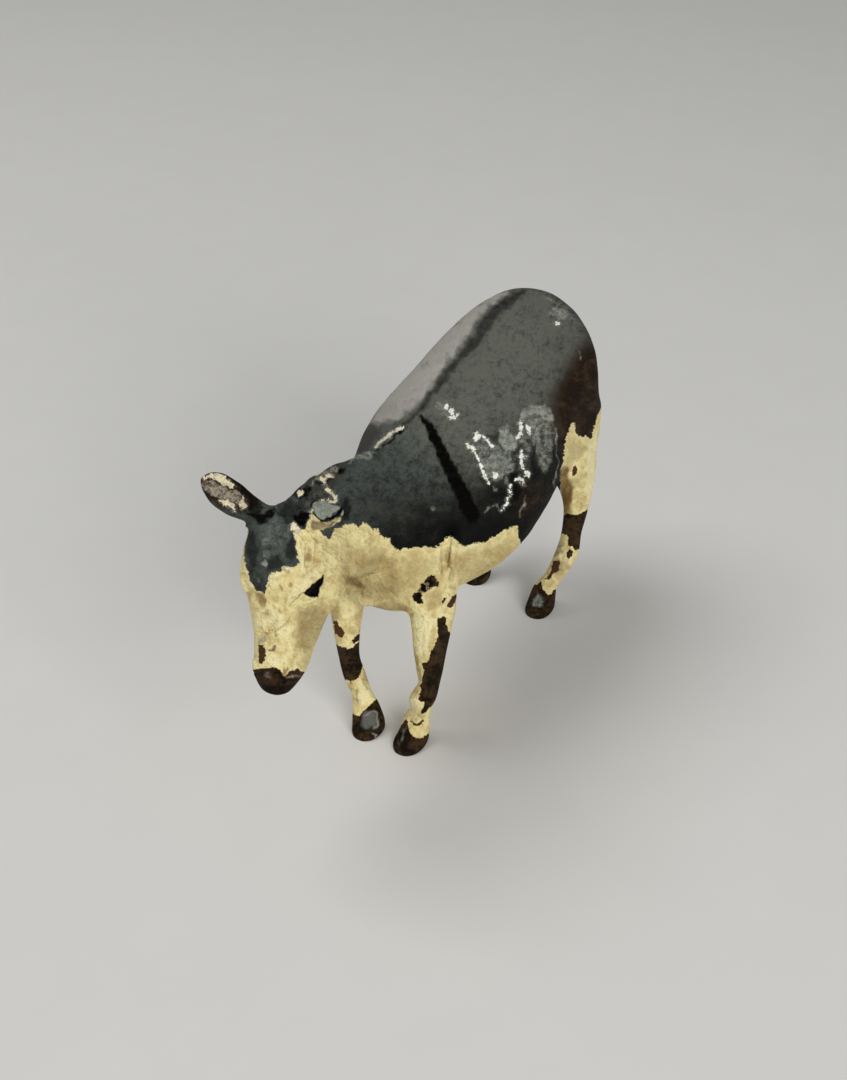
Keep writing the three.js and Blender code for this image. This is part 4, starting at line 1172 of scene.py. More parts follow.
# %% Small tooling, as height in millimetres, softness and mark
tooling = {
    "lid": (0.2, 3.4, [(290, 599.5, 0.8), (300, 590, 1.6), (310, 580.5, 1.8), (318, 573, 1.0)]),
    "under_eye": (0.14, 3.0, [(302, 602, 0.8), (311, 600, 1.4), (319, 598, 1.4), (325, 590, 0.8)]),
    "brow_band": (0.18, 3.0, [(298, 536, 1.0), (299, 548, 1.8), (301.5, 563, 1.8), (304, 572, 1.0)]),
    "brow_streak": (0.18, 2.6, [(313, 540, 0.8), (312.5, 552, 1.2), (311, 564, 1.0)]),
    "brow_rear": (0.16, 2.6, [(321, 543, 0.8), (320, 556, 1.2), (318, 566, 0.8)]),
    "brow_groove": (-0.2, 2.4, [(307, 545, 0.8), (306.5, 556, 1.2), (306.5, 566, 0.6)]),
    "rear_groove": (-0.16, 2.2, [(316.5, 556, 0.6), (315, 566, 1.0), (311.5, 573, 0.6)]),
    "blaze_lump": (0.14, 1.5, [(271.5, 577, 1.8), (275.5, 575.5, 2.0)]),
    "blaze_lump_right": (0.12, 1.4, [(285, 569, 1.6), (291, 569.5, 1.4)]),
    "face_crack": (-0.1, 1.0, [
        (258, 632.5, 0.8), (267, 634, 0.9), (281, 627.5, 0.6), (290, 618, 0.4)]),
    "nose_strip": (0.12, 1.2, [(263, 616, 1.6), (263.5, 628, 1.6)]),
    "cheek_lump": (0.12, 4.0, [(272, 614, 1.0), (280, 618, 2.0), (276, 624, 1.0)]),
    "jaw_line": (0.1, 3.0, [(322, 610, 1.5), (318, 628, 2.0), (308, 648, 1.5)]),
    "forehead_left": (0.1, 2.0, [(259, 528, 1.4), (262, 545, 1.8), (264, 560, 1.2)]),
    "forehead_right": (-0.12, 2.0, [(291, 528, 1.4), (286, 545, 1.8), (277, 558, 1.4)]),
    "temple": (-0.16, 2.0, [(284, 508, 1.5), (294, 514, 3.0), (304, 519, 2.0)]),
    "forelock": (0.14, 2.0, [(301, 503, 1.5), (310, 498, 2.5), (320, 492, 2.0)]),
    "neck_fold": (0.1, 3.0, [(352, 500, 1.5), (370, 480, 2.5), (392, 462, 2.0)]),
    "elbow_fold": (0.24, 3.0, [
        (449, 540, 0.8), (452, 550, 1.6), (451, 562, 1.6), (447, 576, 1.0), (441, 592, 0.6)]),
    "elbow_fold_front": (0.2, 2.6, [(440, 546, 0.8), (437.5, 556, 1.4), (437, 566, 1.0)]),
    "elbow_crease": (-0.14, 2.4, [(442.5, 552, 0.6), (443, 562, 1.0), (443.5, 574, 1.0)]),
    "elbow_rear_crease": (-0.08, 2.6, [(457, 545, 0.8), (458, 558, 1.2), (455, 574, 0.8)]),
    "elbow": (0.14, 2.4, [(424, 590, 1.0), (434, 584, 1.6), (440, 578, 1.0)])}

print(len(tooling), "tooled strokes")

# %% [markdown]
# ## All layers of paint
# The charcoal is painted greyer towards the top and along the middle: a painted sheen of the light
# from above, with some real fading. With the marks, that grey and how shut in each place is, which
# the paint turns into painted shade, every vertex gets one number for each layer.
# Two more say where it lies on the photograph, for dabs of the brush that are laid out as they were
# seen.

# %% How grey the charcoal is
grey_heights, grey_by_height = (24.0, 28.0, 31.5, 35.0, 39.0), (0.1, 0.18, 0.56, 0.87, 0.95)
grey_places, grey_by_place = (-23.0, -17.0, 6.0, 12.0, 22.0, 31.0), (0.5, 0.95, 1.0, 0.82, 0.68, 0.78)


def greyness(points):
    """How grey the charcoal is painted: more with height, as a painted sheen of the light from above
    with some real fading, and less towards the ends."""
    by_height = np.interp(points[:, 2], grey_heights, grey_by_height)
    return by_height * np.interp(points[:, 0], grey_places, grey_by_place)


# How shut in a place is; the paint darkens shut-in places with it, a painted shade.
def hollow_of(points, normals, reach=1.0):
    """How shut in a point is: one less the distance met one reach along the normal, as a share of
    the reach."""
    return np.clip(1 - everything(*(points + reach * normals).T) / reach, 0, 1)


def facing_share(points, normals):
    """How squarely a seen place faces the camera: the cosine between its normal and the line of
    sight."""
    to_eye = camera_place - points
    squarely = (normals * to_eye).sum(1) / np.linalg.norm(to_eye, axis=1)
    return np.where(is_seen(points, normals), squarely, 0.0)


def far_sheen_and_bleach(points):
    """Pale right flank, a painted sheen of the light with some real bleaching, over the horizon too:
    inside its outline on the photograph, less towards the belly."""
    right = np.clip(-points[:, 1], 0, 1)
    patch = soft_marks(wandering(on_photo(points)), far_flank)
    return right * patch * np.interp(points[:, 2], far_flank_heights, (0, 1))


def paint_layers(points, normals):
    """All layers at once: hard depths in millimetres, soft strengths from 0 to 1."""
    spot = paint_spot(points, normals)
    hidden_right = (points[:, 1] < 0) & ~is_seen(points, normals)
    worn_spot = spot + np.where(hidden_right, far_side_slip[:, None], 0.0)
    column, row = on_photo(points) / pixels_per_millimetre
    return {
        "charcoal": -hard_marks(spot, cream_areas),
        "umber": hard_marks(spot, umber_areas),
        "chip": hard_marks(worn_spot, chips),
        # Rubbed paint, and painted highlights.
        "scuff": soft_marks(wandering(worn_spot), scuffs_and_highlights),
        # Stains, and painted shade under things.
        "stain": soft_marks(wandering(spot), stains_and_shade),
        # Black paint, and painted shadow in hollows and creases.
        "deep": soft_marks(wandering(spot), hollows),
        "warm": soft_marks(wandering(spot), warm_areas),
        # Painted highlights, and the far flank's painted sheen with some real bleaching.
        "pale": np.maximum(soft_marks(wandering(spot), painted_highlights), far_sheen_and_bleach(points)),
        "relief": soft_marks(spot, tooling),
        "column": column,
        "row": row,
        "facing": facing_share(points, normals),
        # Grey of the charcoal: a painted sheen of the light from above, with some real fading.
        "fade": greyness(points),
        # How shut in: the paint turns it into painted shade in the hollows.
        "hollow": hollow_of(points, normals),
        "bare": np.full(len(points), far_outside)}


back_grey, belly_grey = greyness(np.array([(-5.0, 0.0, 38.0), (0.0, 9.0, 22.0)])).round(2)
print("grey on the back", back_grey, "and at the belly", belly_grey)

# %% [markdown]
# ## Cutting the castings apart
# The castings meet at flat joints, so each piece is a net over its own part of the skin, cut off at
# its joint planes and closed there with a flat face. The knife is Blender's bisect tool. Cut faces
# stay flat, all others are smooth. Paint is stored on vertices, so faces along the edge of a small
# chip are split first, to keep thin lines whole.

# %% Finer faces at the edges of chips
fine_edge = 0.3


def mesh_points(mesh):
    """All vertex places as one array."""
    points = np.empty(3 * len(mesh.vertices), np.float32)
    mesh.vertices.foreach_get("co", points)
    return points.reshape(-1, 3).astype(float)


def slope_normals(field, points):
    """Unit normals: the slope of the field over its length."""
    slope = value_and_slope(field, points)[1]
    return slope / np.linalg.norm(slope, axis=1)[:, None]


def split_at_chips(mesh, field):
    """Cuts in two every edge with an end close to the edge of a chip, then settles the vertices on
    the skin again."""
    points = mesh_points(mesh)
    depth = hard_marks(paint_spot(points, slope_normals(field, points)), chips)
    close = np.flatnonzero(np.abs(depth) < fine_edge)
    work = bmesh.new()
    work.from_mesh(mesh)
    work.verts.ensure_lookup_table()
    edges = {edge for index in close for edge in work.verts[index].link_edges}
    bmesh.ops.subdivide_edges(work, edges=list(edges), cuts=1, use_grid_fill=True)
    work.to_mesh(mesh)
    work.free()
    mesh.vertices.foreach_set("co", settled(field, mesh_points(mesh)).ravel())


print("edges are split within", fine_edge, "mm of the edge of a chip")

# %% One casting


def closed_casting(name, field, low, high, step, joints, paint_over=None):
    """Nets a field inside a box, cuts it at planes (a point, a direction that is dropped, a reach),
    paints it."""
    axes = [np.arange(start, end + step, step) for start, end in zip(low, high)]
    grid = axes[0][:, None, None], axes[1][None, :, None], axes[2][None, None, :]
    points, faces = surface_net(field(*grid), low, step)
    mesh = bpy.data.meshes.new(name)
    mesh.from_pydata(settled(field, points), [], faces)
    split_at_chips(mesh, field)
    work = bmesh.new()
    work.from_mesh(mesh)
    for face in work.faces:
        face.smooth = True
    for place, dropped, reach in joints:
        middle = Vector(place)
        near = [face for face in work.faces if (face.calc_center_median() - middle).length < reach]
        parts = list({part for face in near for part in (*face.verts, *face.edges, face)})
        bmesh.ops.bisect_plane(work, geom=parts, plane_co=place, plane_no=dropped, clear_outer=True)
        rim = [edge for edge in work.edges if edge.is_boundary]
        for cap in bmesh.ops.edgeloop_fill(work, edges=rim)["faces"]:
            cap.smooth = False
            cap.normal_update()
            if cap.normal.dot(Vector(dropped)) < 0:
                cap.normal_flip()
    work.to_mesh(mesh)
    open_edges = sum(edge.is_boundary for edge in work.edges)
    work.free()
    points = mesh_points(mesh)
    normals = slope_normals(field, points)
    paint = paint_layers(points, normals)
    mesh.vertices.foreach_set("co", to_metres(points + normals * paint["relief"][:, None]).ravel())
    corner_vertex = np.empty(len(mesh.loops), int)
    mesh.loops.foreach_get("vertex_index", corner_vertex)
    corner_normals = normals[corner_vertex]
    for cap in (polygon for polygon in mesh.polygons if not polygon.use_smooth):
        corner_normals[cap.loop_start:cap.loop_start + cap.loop_total] = cap.normal
    mesh.normals_split_custom_set(corner_normals.tolist())
    if paint_over:
        paint.update(paint_over(points, normals))
    for layer_name, depth in paint.items():
        attribute = mesh.attributes.new(layer_name, "FLOAT", "POINT")
        attribute.data.foreach_set("value", depth.astype(np.float32))
    piece = bpy.data.objects.new(name, mesh)
    bpy.context.scene.collection.objects.link(piece)
    triangles = sum(polygon.loop_total - 2 for polygon in mesh.polygons)
    print(name, len(mesh.vertices), "vertices,", triangles, "triangles,", open_edges, "open edges")
    return piece


print("each casting: netted, settled, split at chips, cut at its joints, painted")

# %% [markdown]
# ## A shader in plain sums
# Node trees are clearer as formulas. This small class wraps a socket, so that masks can be added
# and multiplied like numbers, and any other node comes from its one method.

# %% Wires


class Wire:
    """An output socket that takes part in sums; each operation adds one Math node to its tree."""

    def __init__(self, socket):
        self.socket = socket
        self.tree = socket.id_data

    @staticmethod
    def node(tree, kind, settings=(), inputs=(), output=0):
        """A node of a kind with its settings, then the values or wires of its sockets; gives one
        output."""
        node = tree.nodes.new(kind)
        for setting, value in dict(settings).items():
            setattr(node, setting, value)
        for socket, value in dict(inputs).items():
            if isinstance(value, Wire):
                tree.links.new(value.socket, node.inputs[socket])
            else:
                node.inputs[socket].default_value = value
        return Wire(node.outputs[output])

    def sum_with(self, operation, first, second):
        return Wire.node(self.tree, "ShaderNodeMath", {"operation": operation}, {0: first, 1: second})

    def __add__(self, other):
        return self.sum_with("ADD", self, other)

    def __radd__(self, other):
        return self.sum_with("ADD", other, self)

    def __sub__(self, other):
        return self.sum_with("SUBTRACT", self, other)

    def __rsub__(self, other):
        return self.sum_with("SUBTRACT", other, self)

    def __mul__(self, other):
        return self.sum_with("MULTIPLY", self, other)

    def __rmul__(self, other):
        return self.sum_with("MULTIPLY", other, self)

    def larger(self, other):
        return self.sum_with("MAXIMUM", self, other)

    def rise(self, low, high):
        """0 below low, 1 above high, smooth between."""
        return Wire.node(self.tree, "ShaderNodeMapRange", {"interpolation_type": "SMOOTHSTEP"},
                         {"Value": self, "From Min": low, "From Max": high})


def mixed(share, first, second):
    """First colour where the share is 0, second where it is 1."""
    return Wire.node(share.tree, "ShaderNodeMix", {"data_type": "RGBA"}, {0: share, 6: first, 7: second}, 2)


def colour(red, green, blue):
    """A colour as read off a screen, 0 to 255, as the linear light that Blender sums."""
    parts = np.array((red, green, blue)) / 255
    linear = np.where(parts > 0.04045, ((parts + 0.055) / 1.055) ** 2.4, parts / 12.92)
    return (*linear.tolist(), 1.0)


def new_finish(name):
    """An empty material: its tree, its shader and the place on the object in millimetres."""
    material = bpy.data.materials.new(name)
    material.use_nodes = True
    tree = material.node_tree
    shader = next(node for node in tree.nodes if node.type == "BSDF_PRINCIPLED")
    place = Wire.node(tree, "ShaderNodeTexCoord", output="Object")
    place = Wire.node(tree, "ShaderNodeVectorMath", {"operation": "SCALE"},
                      {0: place, "Scale": 1 / millimetre})
    return material, tree, shader, place


def speckle(place, size, detail=2.0, roughness=0.5, swirl=0.0):
    """Cloudy noise from 0 to 1 with lumps of a size in millimetres, bent by a swirl."""
    return Wire.node(place.tree, "ShaderNodeTexNoise", {}, {
        "Vector": place, "Scale": 1 / size, "Detail": detail, "Roughness": roughness, "Distortion": swirl})


def stretched(place, scale):
    """The same place drawn out along the axes, for marks of a brush that was pulled along the
    animal."""
    return Wire.node(place.tree, "ShaderNodeMapping", {"vector_type": "TEXTURE"},
                     {"Vector": place, "Scale": scale})


def layer(tree, name):
    """A number that every vertex carries: a depth in millimetres, or a strength from 0 to 1."""
    return Wire.node(tree, "ShaderNodeAttribute", {"attribute_name": name}, {}, "Fac")


print("middle grey in linear light:", np.round(colour(128, 128, 128)[:3], 3))

# %% [markdown]
# ## Painted lead
# One material serves all painted castings, because brush strokes cross the joints. Cream comes
# first, laid on thickly: a painted highlight on the ridges of the brush, and brown between them,
# dirt with painted shade. Charcoal covers it, painted grey on top as a sheen of the light from above
# with some real fading, and brown at the rump. Then come the brown-black bars and hooves, the stripe
# and the black hollows, mostly painted shadow, and last the wear, some of it painted highlight. The
# cream is the thickest coat, so its edge stands up against the charcoal; bump makes that edge catch
# the light, and a white painted highlight runs along it.

# %% Colours of the paint
# Cream light and deep are painted highlight and painted shade on the brush ridges; the whitest cream is a
# painted highlight.
cream_light, cream_deep, cream_highlight = colour(247, 233, 171), colour(210, 186, 126), colour(246, 234, 180)
# Brown of dirt with painted shade, and brown of stains with painted shade.
grime_and_shade, stain_and_shade_brown = colour(120, 92, 48), colour(116, 86, 42)
# The charcoal's grey and teal are where its painted sheen of the light from above takes it.
coat_black, coat_grey, coat_teal = colour(8, 9, 9), colour(100, 102, 93), colour(86, 91, 86)
# The palest coat colour is the far flank's painted sheen, with some real bleaching.
coat_warm, coat_sheen_and_bleach = colour(30, 18, 11), colour(172, 169, 160)
# The stripe black is also painted shadow in hollows and creases.
stripe_black_and_shadow, umber_dark, umber_brown = colour(4, 3, 2), colour(26, 18, 10), colour(66, 51, 33)
# The grey of the umber is a painted glint on the hooves.
umber_red, hoof_glint_grey = colour(84, 54, 38), colour(150, 153, 148)
# The scuff colours also serve as painted highlights.
scuff_grey, scuff_lilac, scuff_brown = colour(162, 168, 155), colour(120, 119, 110), colour(188, 172, 150)
lead_grey = colour(124, 123, 112)
chip_pale, chip_tan, chip_cream = colour(250, 250, 238), colour(206, 200, 178), colour(238, 224, 186)
print("light cream in linear light:", np.round(cream_light[:3], 3))

# %% [markdown]
# ## Brush and grain
# A brush leaves lumps of several sizes, so there are several noises. Where the paint was seen
# squarely, they are dabs laid out on the photograph's own plane. Elsewhere they are strokes, drawn
# out along the animal.

# %% Brush noise and layers
layer_names = ("charcoal", "umber", "chip", "bare", "scuff", "stain", "deep", "warm", "pale", "relief",
               "fade", "hollow")
noise_shapes = {  # size, detail, roughness, swirl
    "coarse": (1.6, 3.0, 0.6, 0.0),
    "medium": (0.5, 3.0, 0.6, 0.2),
    "fine": (0.17, 2.0, 0.6, 0.0),
    "brushed": (0.8, 3.0, 0.55, 0.0),
    "streaks": (2.2, 2.0, 0.5, 0.0)}
crisp_noises, crisp_from_to = ("coarse", "medium", "fine"), (0.3, 0.7)
brush_stretch = (1.45, 1.0, 0.95)
squarely_from_to = (0.1, 0.3)
larger_share, streak_share = 0.6, 0.45
teal_from_to, hoof_top = (2.0, 9.0), (3.0, 4.0)
edge_softness = 0.03


def paint_wires(tree, place):
    """Layers that the mesh carries, and brush noise: strokes, replaced by dabs where the paint was
    seen squarely."""
    wires = SimpleNamespace(**{name: layer(tree, name) for name in layer_names})
    drawn = stretched(place, brush_stretch)
    spot = {0: layer(tree, "column"), 1: layer(tree, "row")}
    dabbed = Wire.node(tree, "ShaderNodeCombineXYZ", {}, spot)
    squarely = layer(tree, "facing").rise(*squarely_from_to)
    for name, shape in noise_shapes.items():
        strokes = speckle(drawn, *shape)
        noise = strokes + (speckle(dabbed, *shape) - strokes) * squarely
        setattr(wires, name, noise.rise(*crisp_from_to) if name in crisp_noises else noise)
    wires.grain = wires.medium * larger_share + wires.fine * (1 - larger_share)
    wires.cloud = wires.coarse * larger_share + wires.medium * (1 - larger_share)
    wires.ridge = wires.streaks * streak_share + wires.brushed * (1 - streak_share)
    wires.forward = Wire.node(tree, "ShaderNodeSeparateXYZ", {}, {0: place}, 0).rise(*teal_from_to)
    wires.above_hoof = Wire.node(tree, "ShaderNodeSeparateXYZ", {}, {0: place}, 2).rise(*hoof_top)
    return wires


def swing(noise, amount):
    """Noise as a swing of an amount, half of it either side of zero."""
    return (noise - 0.5) * amount


def ragged(depth, noise, amount):
    """Mask of a layer whose edge wanders by an amount of millimetres with the noise."""
    return (depth + swing(noise, amount)).rise(-edge_softness, edge_softness)


print(len(layer_names), "layers and", len(noise_shapes), "noises")

# %% Cream and charcoal
light_from_to = (0.32, 0.64)
white_gain, white_start, white_from_to = 2.0, 0.85, (0.3, 1.0)
rim_wander, rim_from_to, rim_share = 0.2, (-0.35, -0.05), 0.4
shade_dirt_in_hollows, shade_dirt_level, shade_dirt_gain, shade_dirt_from_to, shade_dirt_share = 1.5, 0.42, 2.4, (0.15, 0.95), 0.5
stain_shade_least, stain_shade_breakup, stain_shade_from_to = 0.75, 0.5, (0.0, 1.1)
mottle_medium, mottle_fine, mottle_coarse = 0.4, 0.25, 0.5
hollow_shade, grey_from_to = 0.4, (0.0, 1.05)
sheen_bleach_least, sheen_bleach_coarse, sheen_bleach_medium, sheen_bleach_from_to = 0.6, 0.5, 0.3, (0.0, 1.0)
brown_from_to, warm_wander, warm_from_to = (0.3, 1.0), 0.3, (0.1, 0.95)


def cream_paint(wires):
    """Painted highlight on the brush ridges and painted shade between them, white painted highlights,
    a white painted highlight along the rim, then dirt with painted shade in hollows and below the
    ridges, and stains with painted shade."""
    # Painted highlight on the ridges of the brush, painted shade between them.
    cream = mixed(wires.ridge.rise(*light_from_to), cream_deep, cream_light)
    # White painted highlights on the ridge tops and wherever the pale layer lies.
    white = wires.ridge * white_gain - white_start + wires.pale
    cream = mixed(white.rise(*white_from_to), cream, cream_highlight)
    # A white painted highlight along the cream's edge against the charcoal.
    rim = (wires.charcoal + swing(wires.medium, rim_wander)).rise(*rim_from_to)
    cream = mixed(rim * rim_share, cream, cream_highlight)
    # Dirt with painted shade: browner in shut-in hollows and below the brush ridges.
    dirt_and_shade = wires.hollow * shade_dirt_in_hollows + (shade_dirt_level - wires.ridge) * shade_dirt_gain
    cream = mixed(dirt_and_shade.rise(*shade_dirt_from_to) * shade_dirt_share, cream, grime_and_shade)
    # Stains, with painted shade under the chest, neck, jaw, belly and thigh.
    stain = wires.stain * (stain_shade_least + wires.cloud * stain_shade_breakup)
    return mixed(stain.rise(*stain_shade_from_to), cream, stain_and_shade_brown)


def charcoal_paint(wires):
    """Black to grey by the painted sheen with some fading and a mottle, darker in hollows as painted
    shade, teal towards the head, paler by the pale layer and browner by the warm layer."""
    mottle = swing(wires.medium, mottle_medium) + swing(wires.fine, mottle_fine)
    mottle = mottle + swing(wires.coarse, mottle_coarse)
    # Painted sheen with some fading, and painted shade where the place is shut in.
    shade = wires.fade * (1.0 + mottle) - wires.hollow * hollow_shade
    coat = mixed(shade.rise(*grey_from_to), coat_black, mixed(wires.forward, coat_grey, coat_teal))
    # Paler by the pale layer: the far flank's painted sheen with some bleaching, and painted highlights.
    sheen_and_bleach = wires.pale * (sheen_bleach_least + wires.coarse * sheen_bleach_coarse + wires.medium * sheen_bleach_medium)
    coat = mixed(sheen_and_bleach.rise(*sheen_bleach_from_to), coat, coat_sheen_and_bleach)
    brown = mixed(wires.cloud.rise(*brown_from_to), coat_warm, umber_brown)
    warm = wires.warm + swing(wires.coarse, warm_wander) + swing(wires.grain, warm_wander)
    return mixed(warm.rise(*warm_from_to), coat, brown)


print("cream turns light between ridges of", light_from_to)

# %% Umber, wear and relief
coat_wander, bar_wander, chip_wander, bare_wander = 0.36, 0.24, 0.36, 0.3
halo_wander, halo_from_to, halo_share = 0.4, (-0.3, 0.05), 0.5
umber_from_to, hoof_glint_from_to = (0.2, 0.9), (0.0, 1.0)
black_least, black_breakup, black_from_to = 0.75, 0.5, (0.0, 1.0)
scuff_highlight_breakup, scuff_highlight_from_to, chip_from_to = 1.2, (0.1, 0.9), (0.2, 0.7)
cream_thickness, umber_thickness = 0.08, 0.04
brush_height, streak_height, lump_bump, grain_bump = 0.55, 0.4, 0.06, 0.014
dark_smoothness = 0.75
cream_roughness, dark_roughness, patchy_roughness = 0.45, 0.1, 0.2
bare_shine, faint_gloss = 0.4, 0.04


def umber_paint(wires):
    """Brown-black in clouds, redder where warm, grey where the pale layer reaches the hooves, a painted
    glint.
    """
    umber = mixed(wires.cloud.rise(*umber_from_to), umber_dark, umber_brown)
    umber = mixed(wires.warm, umber, umber_red)
    # Grey on the hooves: a painted glint.
    return mixed(wires.pale.rise(*hoof_glint_from_to) * (1.0 - wires.above_hoof), umber, hoof_glint_grey)


def worn_and_highlit_paint(wires):
    """The haze of rubbed paint, also laid as painted highlight: grey, or brown where warm."""
    cold = mixed(wires.grain, scuff_lilac, scuff_grey)
    return mixed(wires.warm, cold, mixed(wires.grain, umber_brown, scuff_brown))


def paint_height(wires, coat_mask, bar_mask, chip_mask, dark):
    """Sum of the coats' thicknesses, the tooling and the brush marks, which are lower under dark
    coats."""
    height = bar_mask * umber_thickness - coat_mask * cream_thickness + chip_mask * umber_thickness
    brush = swing(wires.brushed, brush_height) + swing(wires.streaks, streak_height)
    height = height + wires.relief + brush * (1 - dark * dark_smoothness)
    return height + wires.fine * grain_bump + wires.medium * lump_bump


print("brush marks up to", brush_height + streak_height, "mm of bump")

# %% Painted lead


def painted_lead(name):
    """Cream, charcoal, umber, black with painted shadow, scuffs with painted highlights, chips and bare
    metal, each mixed over the last by its mask."""
    material, tree, shader, place = new_finish(name)
    wires = paint_wires(tree, place)
    coat_mask = ragged(wires.charcoal, wires.grain, coat_wander)
    bar_mask = ragged(wires.umber, wires.grain, bar_wander)
    chip_mask = ragged(wires.chip, wires.grain, chip_wander)
    bare_mask = ragged(wires.bare, wires.medium, bare_wander)
    worn_and_highlit = worn_and_highlit_paint(wires)
    halo = (wires.chip + swing(wires.grain, halo_wander)).rise(*halo_from_to) * halo_share
    base = mixed(coat_mask, cream_paint(wires), mixed(halo, charcoal_paint(wires), worn_and_highlit))
    base = mixed(bar_mask, base, umber_paint(wires))
    # Black paint of the stripes and eye, and painted shadow in hollows and creases.
    black = wires.deep * (black_least + wires.grain * black_breakup)
    base = mixed(black.rise(*black_from_to), base, stripe_black_and_shadow)
    # Rubbed paint, and painted highlights on forehead, crest, rump edge, nostril, lip and hooves.
    patches = wires.cloud * 0.5 + wires.grain * 0.5
    scuffed_and_highlit = wires.scuff * (1.0 + swing(patches, scuff_highlight_breakup))
    base = mixed(scuffed_and_highlit.rise(*scuff_highlight_from_to), base, worn_and_highlit)
    ground = mixed(wires.forward, chip_pale, chip_cream)
    base = mixed(chip_mask, base, mixed(wires.grain.rise(*chip_from_to), chip_tan, ground))
    base = mixed(bare_mask, base, mixed(wires.grain, lead_grey, scuff_grey))
    dark = bar_mask.larger(coat_mask)
    height = paint_height(wires, coat_mask, bar_mask, chip_mask, dark)
    relief = {"Height": height, "Distance": millimetre, "Strength": 1.0}
    bump = Wire.node(tree, "ShaderNodeBump", {}, relief, "Normal")
    roughness = cream_roughness + dark * dark_roughness + wires.medium * patchy_roughness
    tree.links.new(base.socket, shader.inputs["Base Color"])
    tree.links.new(roughness.socket, shader.inputs["Roughness"])
    tree.links.new((bare_mask * bare_shine).socket, shader.inputs["Metallic"])
    tree.links.new(bump.socket, shader.inputs["Normal"])
    shader.inputs["Specular IOR Level"].default_value = faint_gloss
    return material


paint_finish = painted_lead("painted_lead")
print("painted lead uses", len(paint_finish.node_tree.nodes), "nodes")

# %% [markdown]
# ## The nine castings
# Now each casting is netted in its own box. The finer the tooling, the finer the grid. Each piece
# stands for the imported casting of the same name, so that one is hidden.

# %% Own paint of ear, stump and tail
deep_inside = 2.0
stump_end = 0.55
tuft_top = 21.0
# A crescent of painted shadow beside the stump.
stump_shadow_crescent = [(326, 519, 1.2), (332, 517.5, 2.2), (338, 514.5, 3.0), (342, 508, 2.6)]


def ear_paint(points, normals):
    """The ear has no cream on its back: charcoal all over."""
    return {"charcoal": np.full(len(points), deep_inside)}


def stump_paint(points, normals):
    """Bare metal where the stump faces along itself, less a crescent of painted shadow, and paint round
    its sides."""
    crescent = hard_marks(paint_spot(points, normals), {"crescent": stump_shadow_crescent})
    return {"bare": np.minimum(normals @ stump_axes[0] - stump_end, -crescent)}


def tail_paint(points, normals):
    """The tail is charcoal, with an umber tuft and no chips."""
    none = np.full(len(points), far_outside)
    return {"charcoal": -none, "umber": tuft_top - points[:, 2], "chip": none, "scuff": 0 * none}


print("the tail's tuft starts at", tuft_top, "mm")

# %% Castings
joint_reach, ear_reach = 99.0, 2.8
ear_joint_along = 1.4
ear_joint = ear_root + ear_joint_along * ear_axes[0]
neck_face, leg_face, table = (neck_joint, 0, 30), (0, 0, leg_joint), (0, 0, 0)
ahead, behind, down, up = (1, 0, 0), (-1, 0, 0), (0, 0, -1), (0, 0, 1)
leg_step = 0.13
leg_cuts = [(leg_face, up, joint_reach), (table, down, joint_reach)]
leg_boxes = {
    "front_left_leg": ((10.2, 0.2, -0.4), (16.4, 7.6, 14.9)),
    "front_right_leg": ((10.2, -7.6, -0.4), (16.6, -0.2, 14.9)),
    "hind_left_leg": ((-23.6, 1.6, -0.4), (-13.0, 8.8, 14.9)),
    "hind_right_leg": ((-24.2, -9.2, -0.4), (-15.4, -3.6, 14.9))}
casting_plans = {  # field, low corner, high corner, grid step, joints, own paint
    "body": (
        skin_distance, (-25.0, -10.6, 14.2), (22.3, 10.6, 40.4), 0.25,
        [(neck_face, ahead, joint_reach), (leg_face, down, joint_reach)]),
    "head": (
        skin_distance, (21.6, -5.2, 18.6), (36.6, 5.4, 39.4), 0.14,
        [(neck_face, behind, joint_reach), (ear_joint, ear_axes[0], ear_reach)]),
    "right_ear": (
        skin_distance, (26.6, -10.9, 34.0), (32.0, -3.0, 38.8), 0.09,
        [(ear_joint, -ear_axes[0], joint_reach)], ear_paint),
    "left_ear_stump": (
        stump_alone, (25.2, 0.2, 34.0), (30.4, 5.2, 38.6), 0.08, [], stump_paint),
    "tail": (
        tail_alone, (-26.8, -1.6, 16.8), (-22.4, 1.6, 36.6), 0.13, [], tail_paint)}
for leg, (low, high) in leg_boxes.items():
    casting_plans[leg] = (skin_distance, low, high, leg_step, leg_cuts)
castings = {node: closed_casting(node + "_skin", *plan) for node, plan in casting_plans.items()}
slots = {subpart["node"]: subpart["material_slot"] for subpart in frame["record"]["subparts"]}
for node, piece in castings.items():
    piece.data.materials.append(paint_finish)
    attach(piece, "root")
    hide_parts(node)
print(len(castings), "castings,", sum(len(piece.data.polygons) for piece in castings.values()), "faces")

# %% [markdown]
# ## Solder
# Inside every joint a sleeve of solder holds the spigot. It is hidden, but a part that is taken
# apart should still look right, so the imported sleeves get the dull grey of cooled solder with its
# fine frosty grain.

# %% Solder
solder_bright, solder_dull = colour(176, 176, 180), colour(132, 132, 138)
frost_shape, frost_height, frost_from_to = (0.25, 3.0, 0.6), 0.02, (0.35, 0.65)
solder_roughness, frost_roughness = 0.35, 0.3


def solder_metal(name):
    """Two greys mixed by noise, rougher where duller, with a frosty bump."""
    material, tree, shader, place = new_finish(name)
    frost = speckle(place, *frost_shape)
    relief = {"Height": frost * frost_height, "Distance": millimetre}
    bump = Wire.node(tree, "ShaderNodeBump", {}, relief, "Normal")
    base = mixed(frost.rise(*frost_from_to), solder_bright, solder_dull)
    tree.links.new(base.socket, shader.inputs["Base Color"])
    tree.links.new((solder_roughness + frost * frost_roughness).socket, shader.inputs["Roughness"])
    tree.links.new(bump.socket, shader.inputs["Normal"])
    shader.inputs["Metallic"].default_value = 1.0
    return material


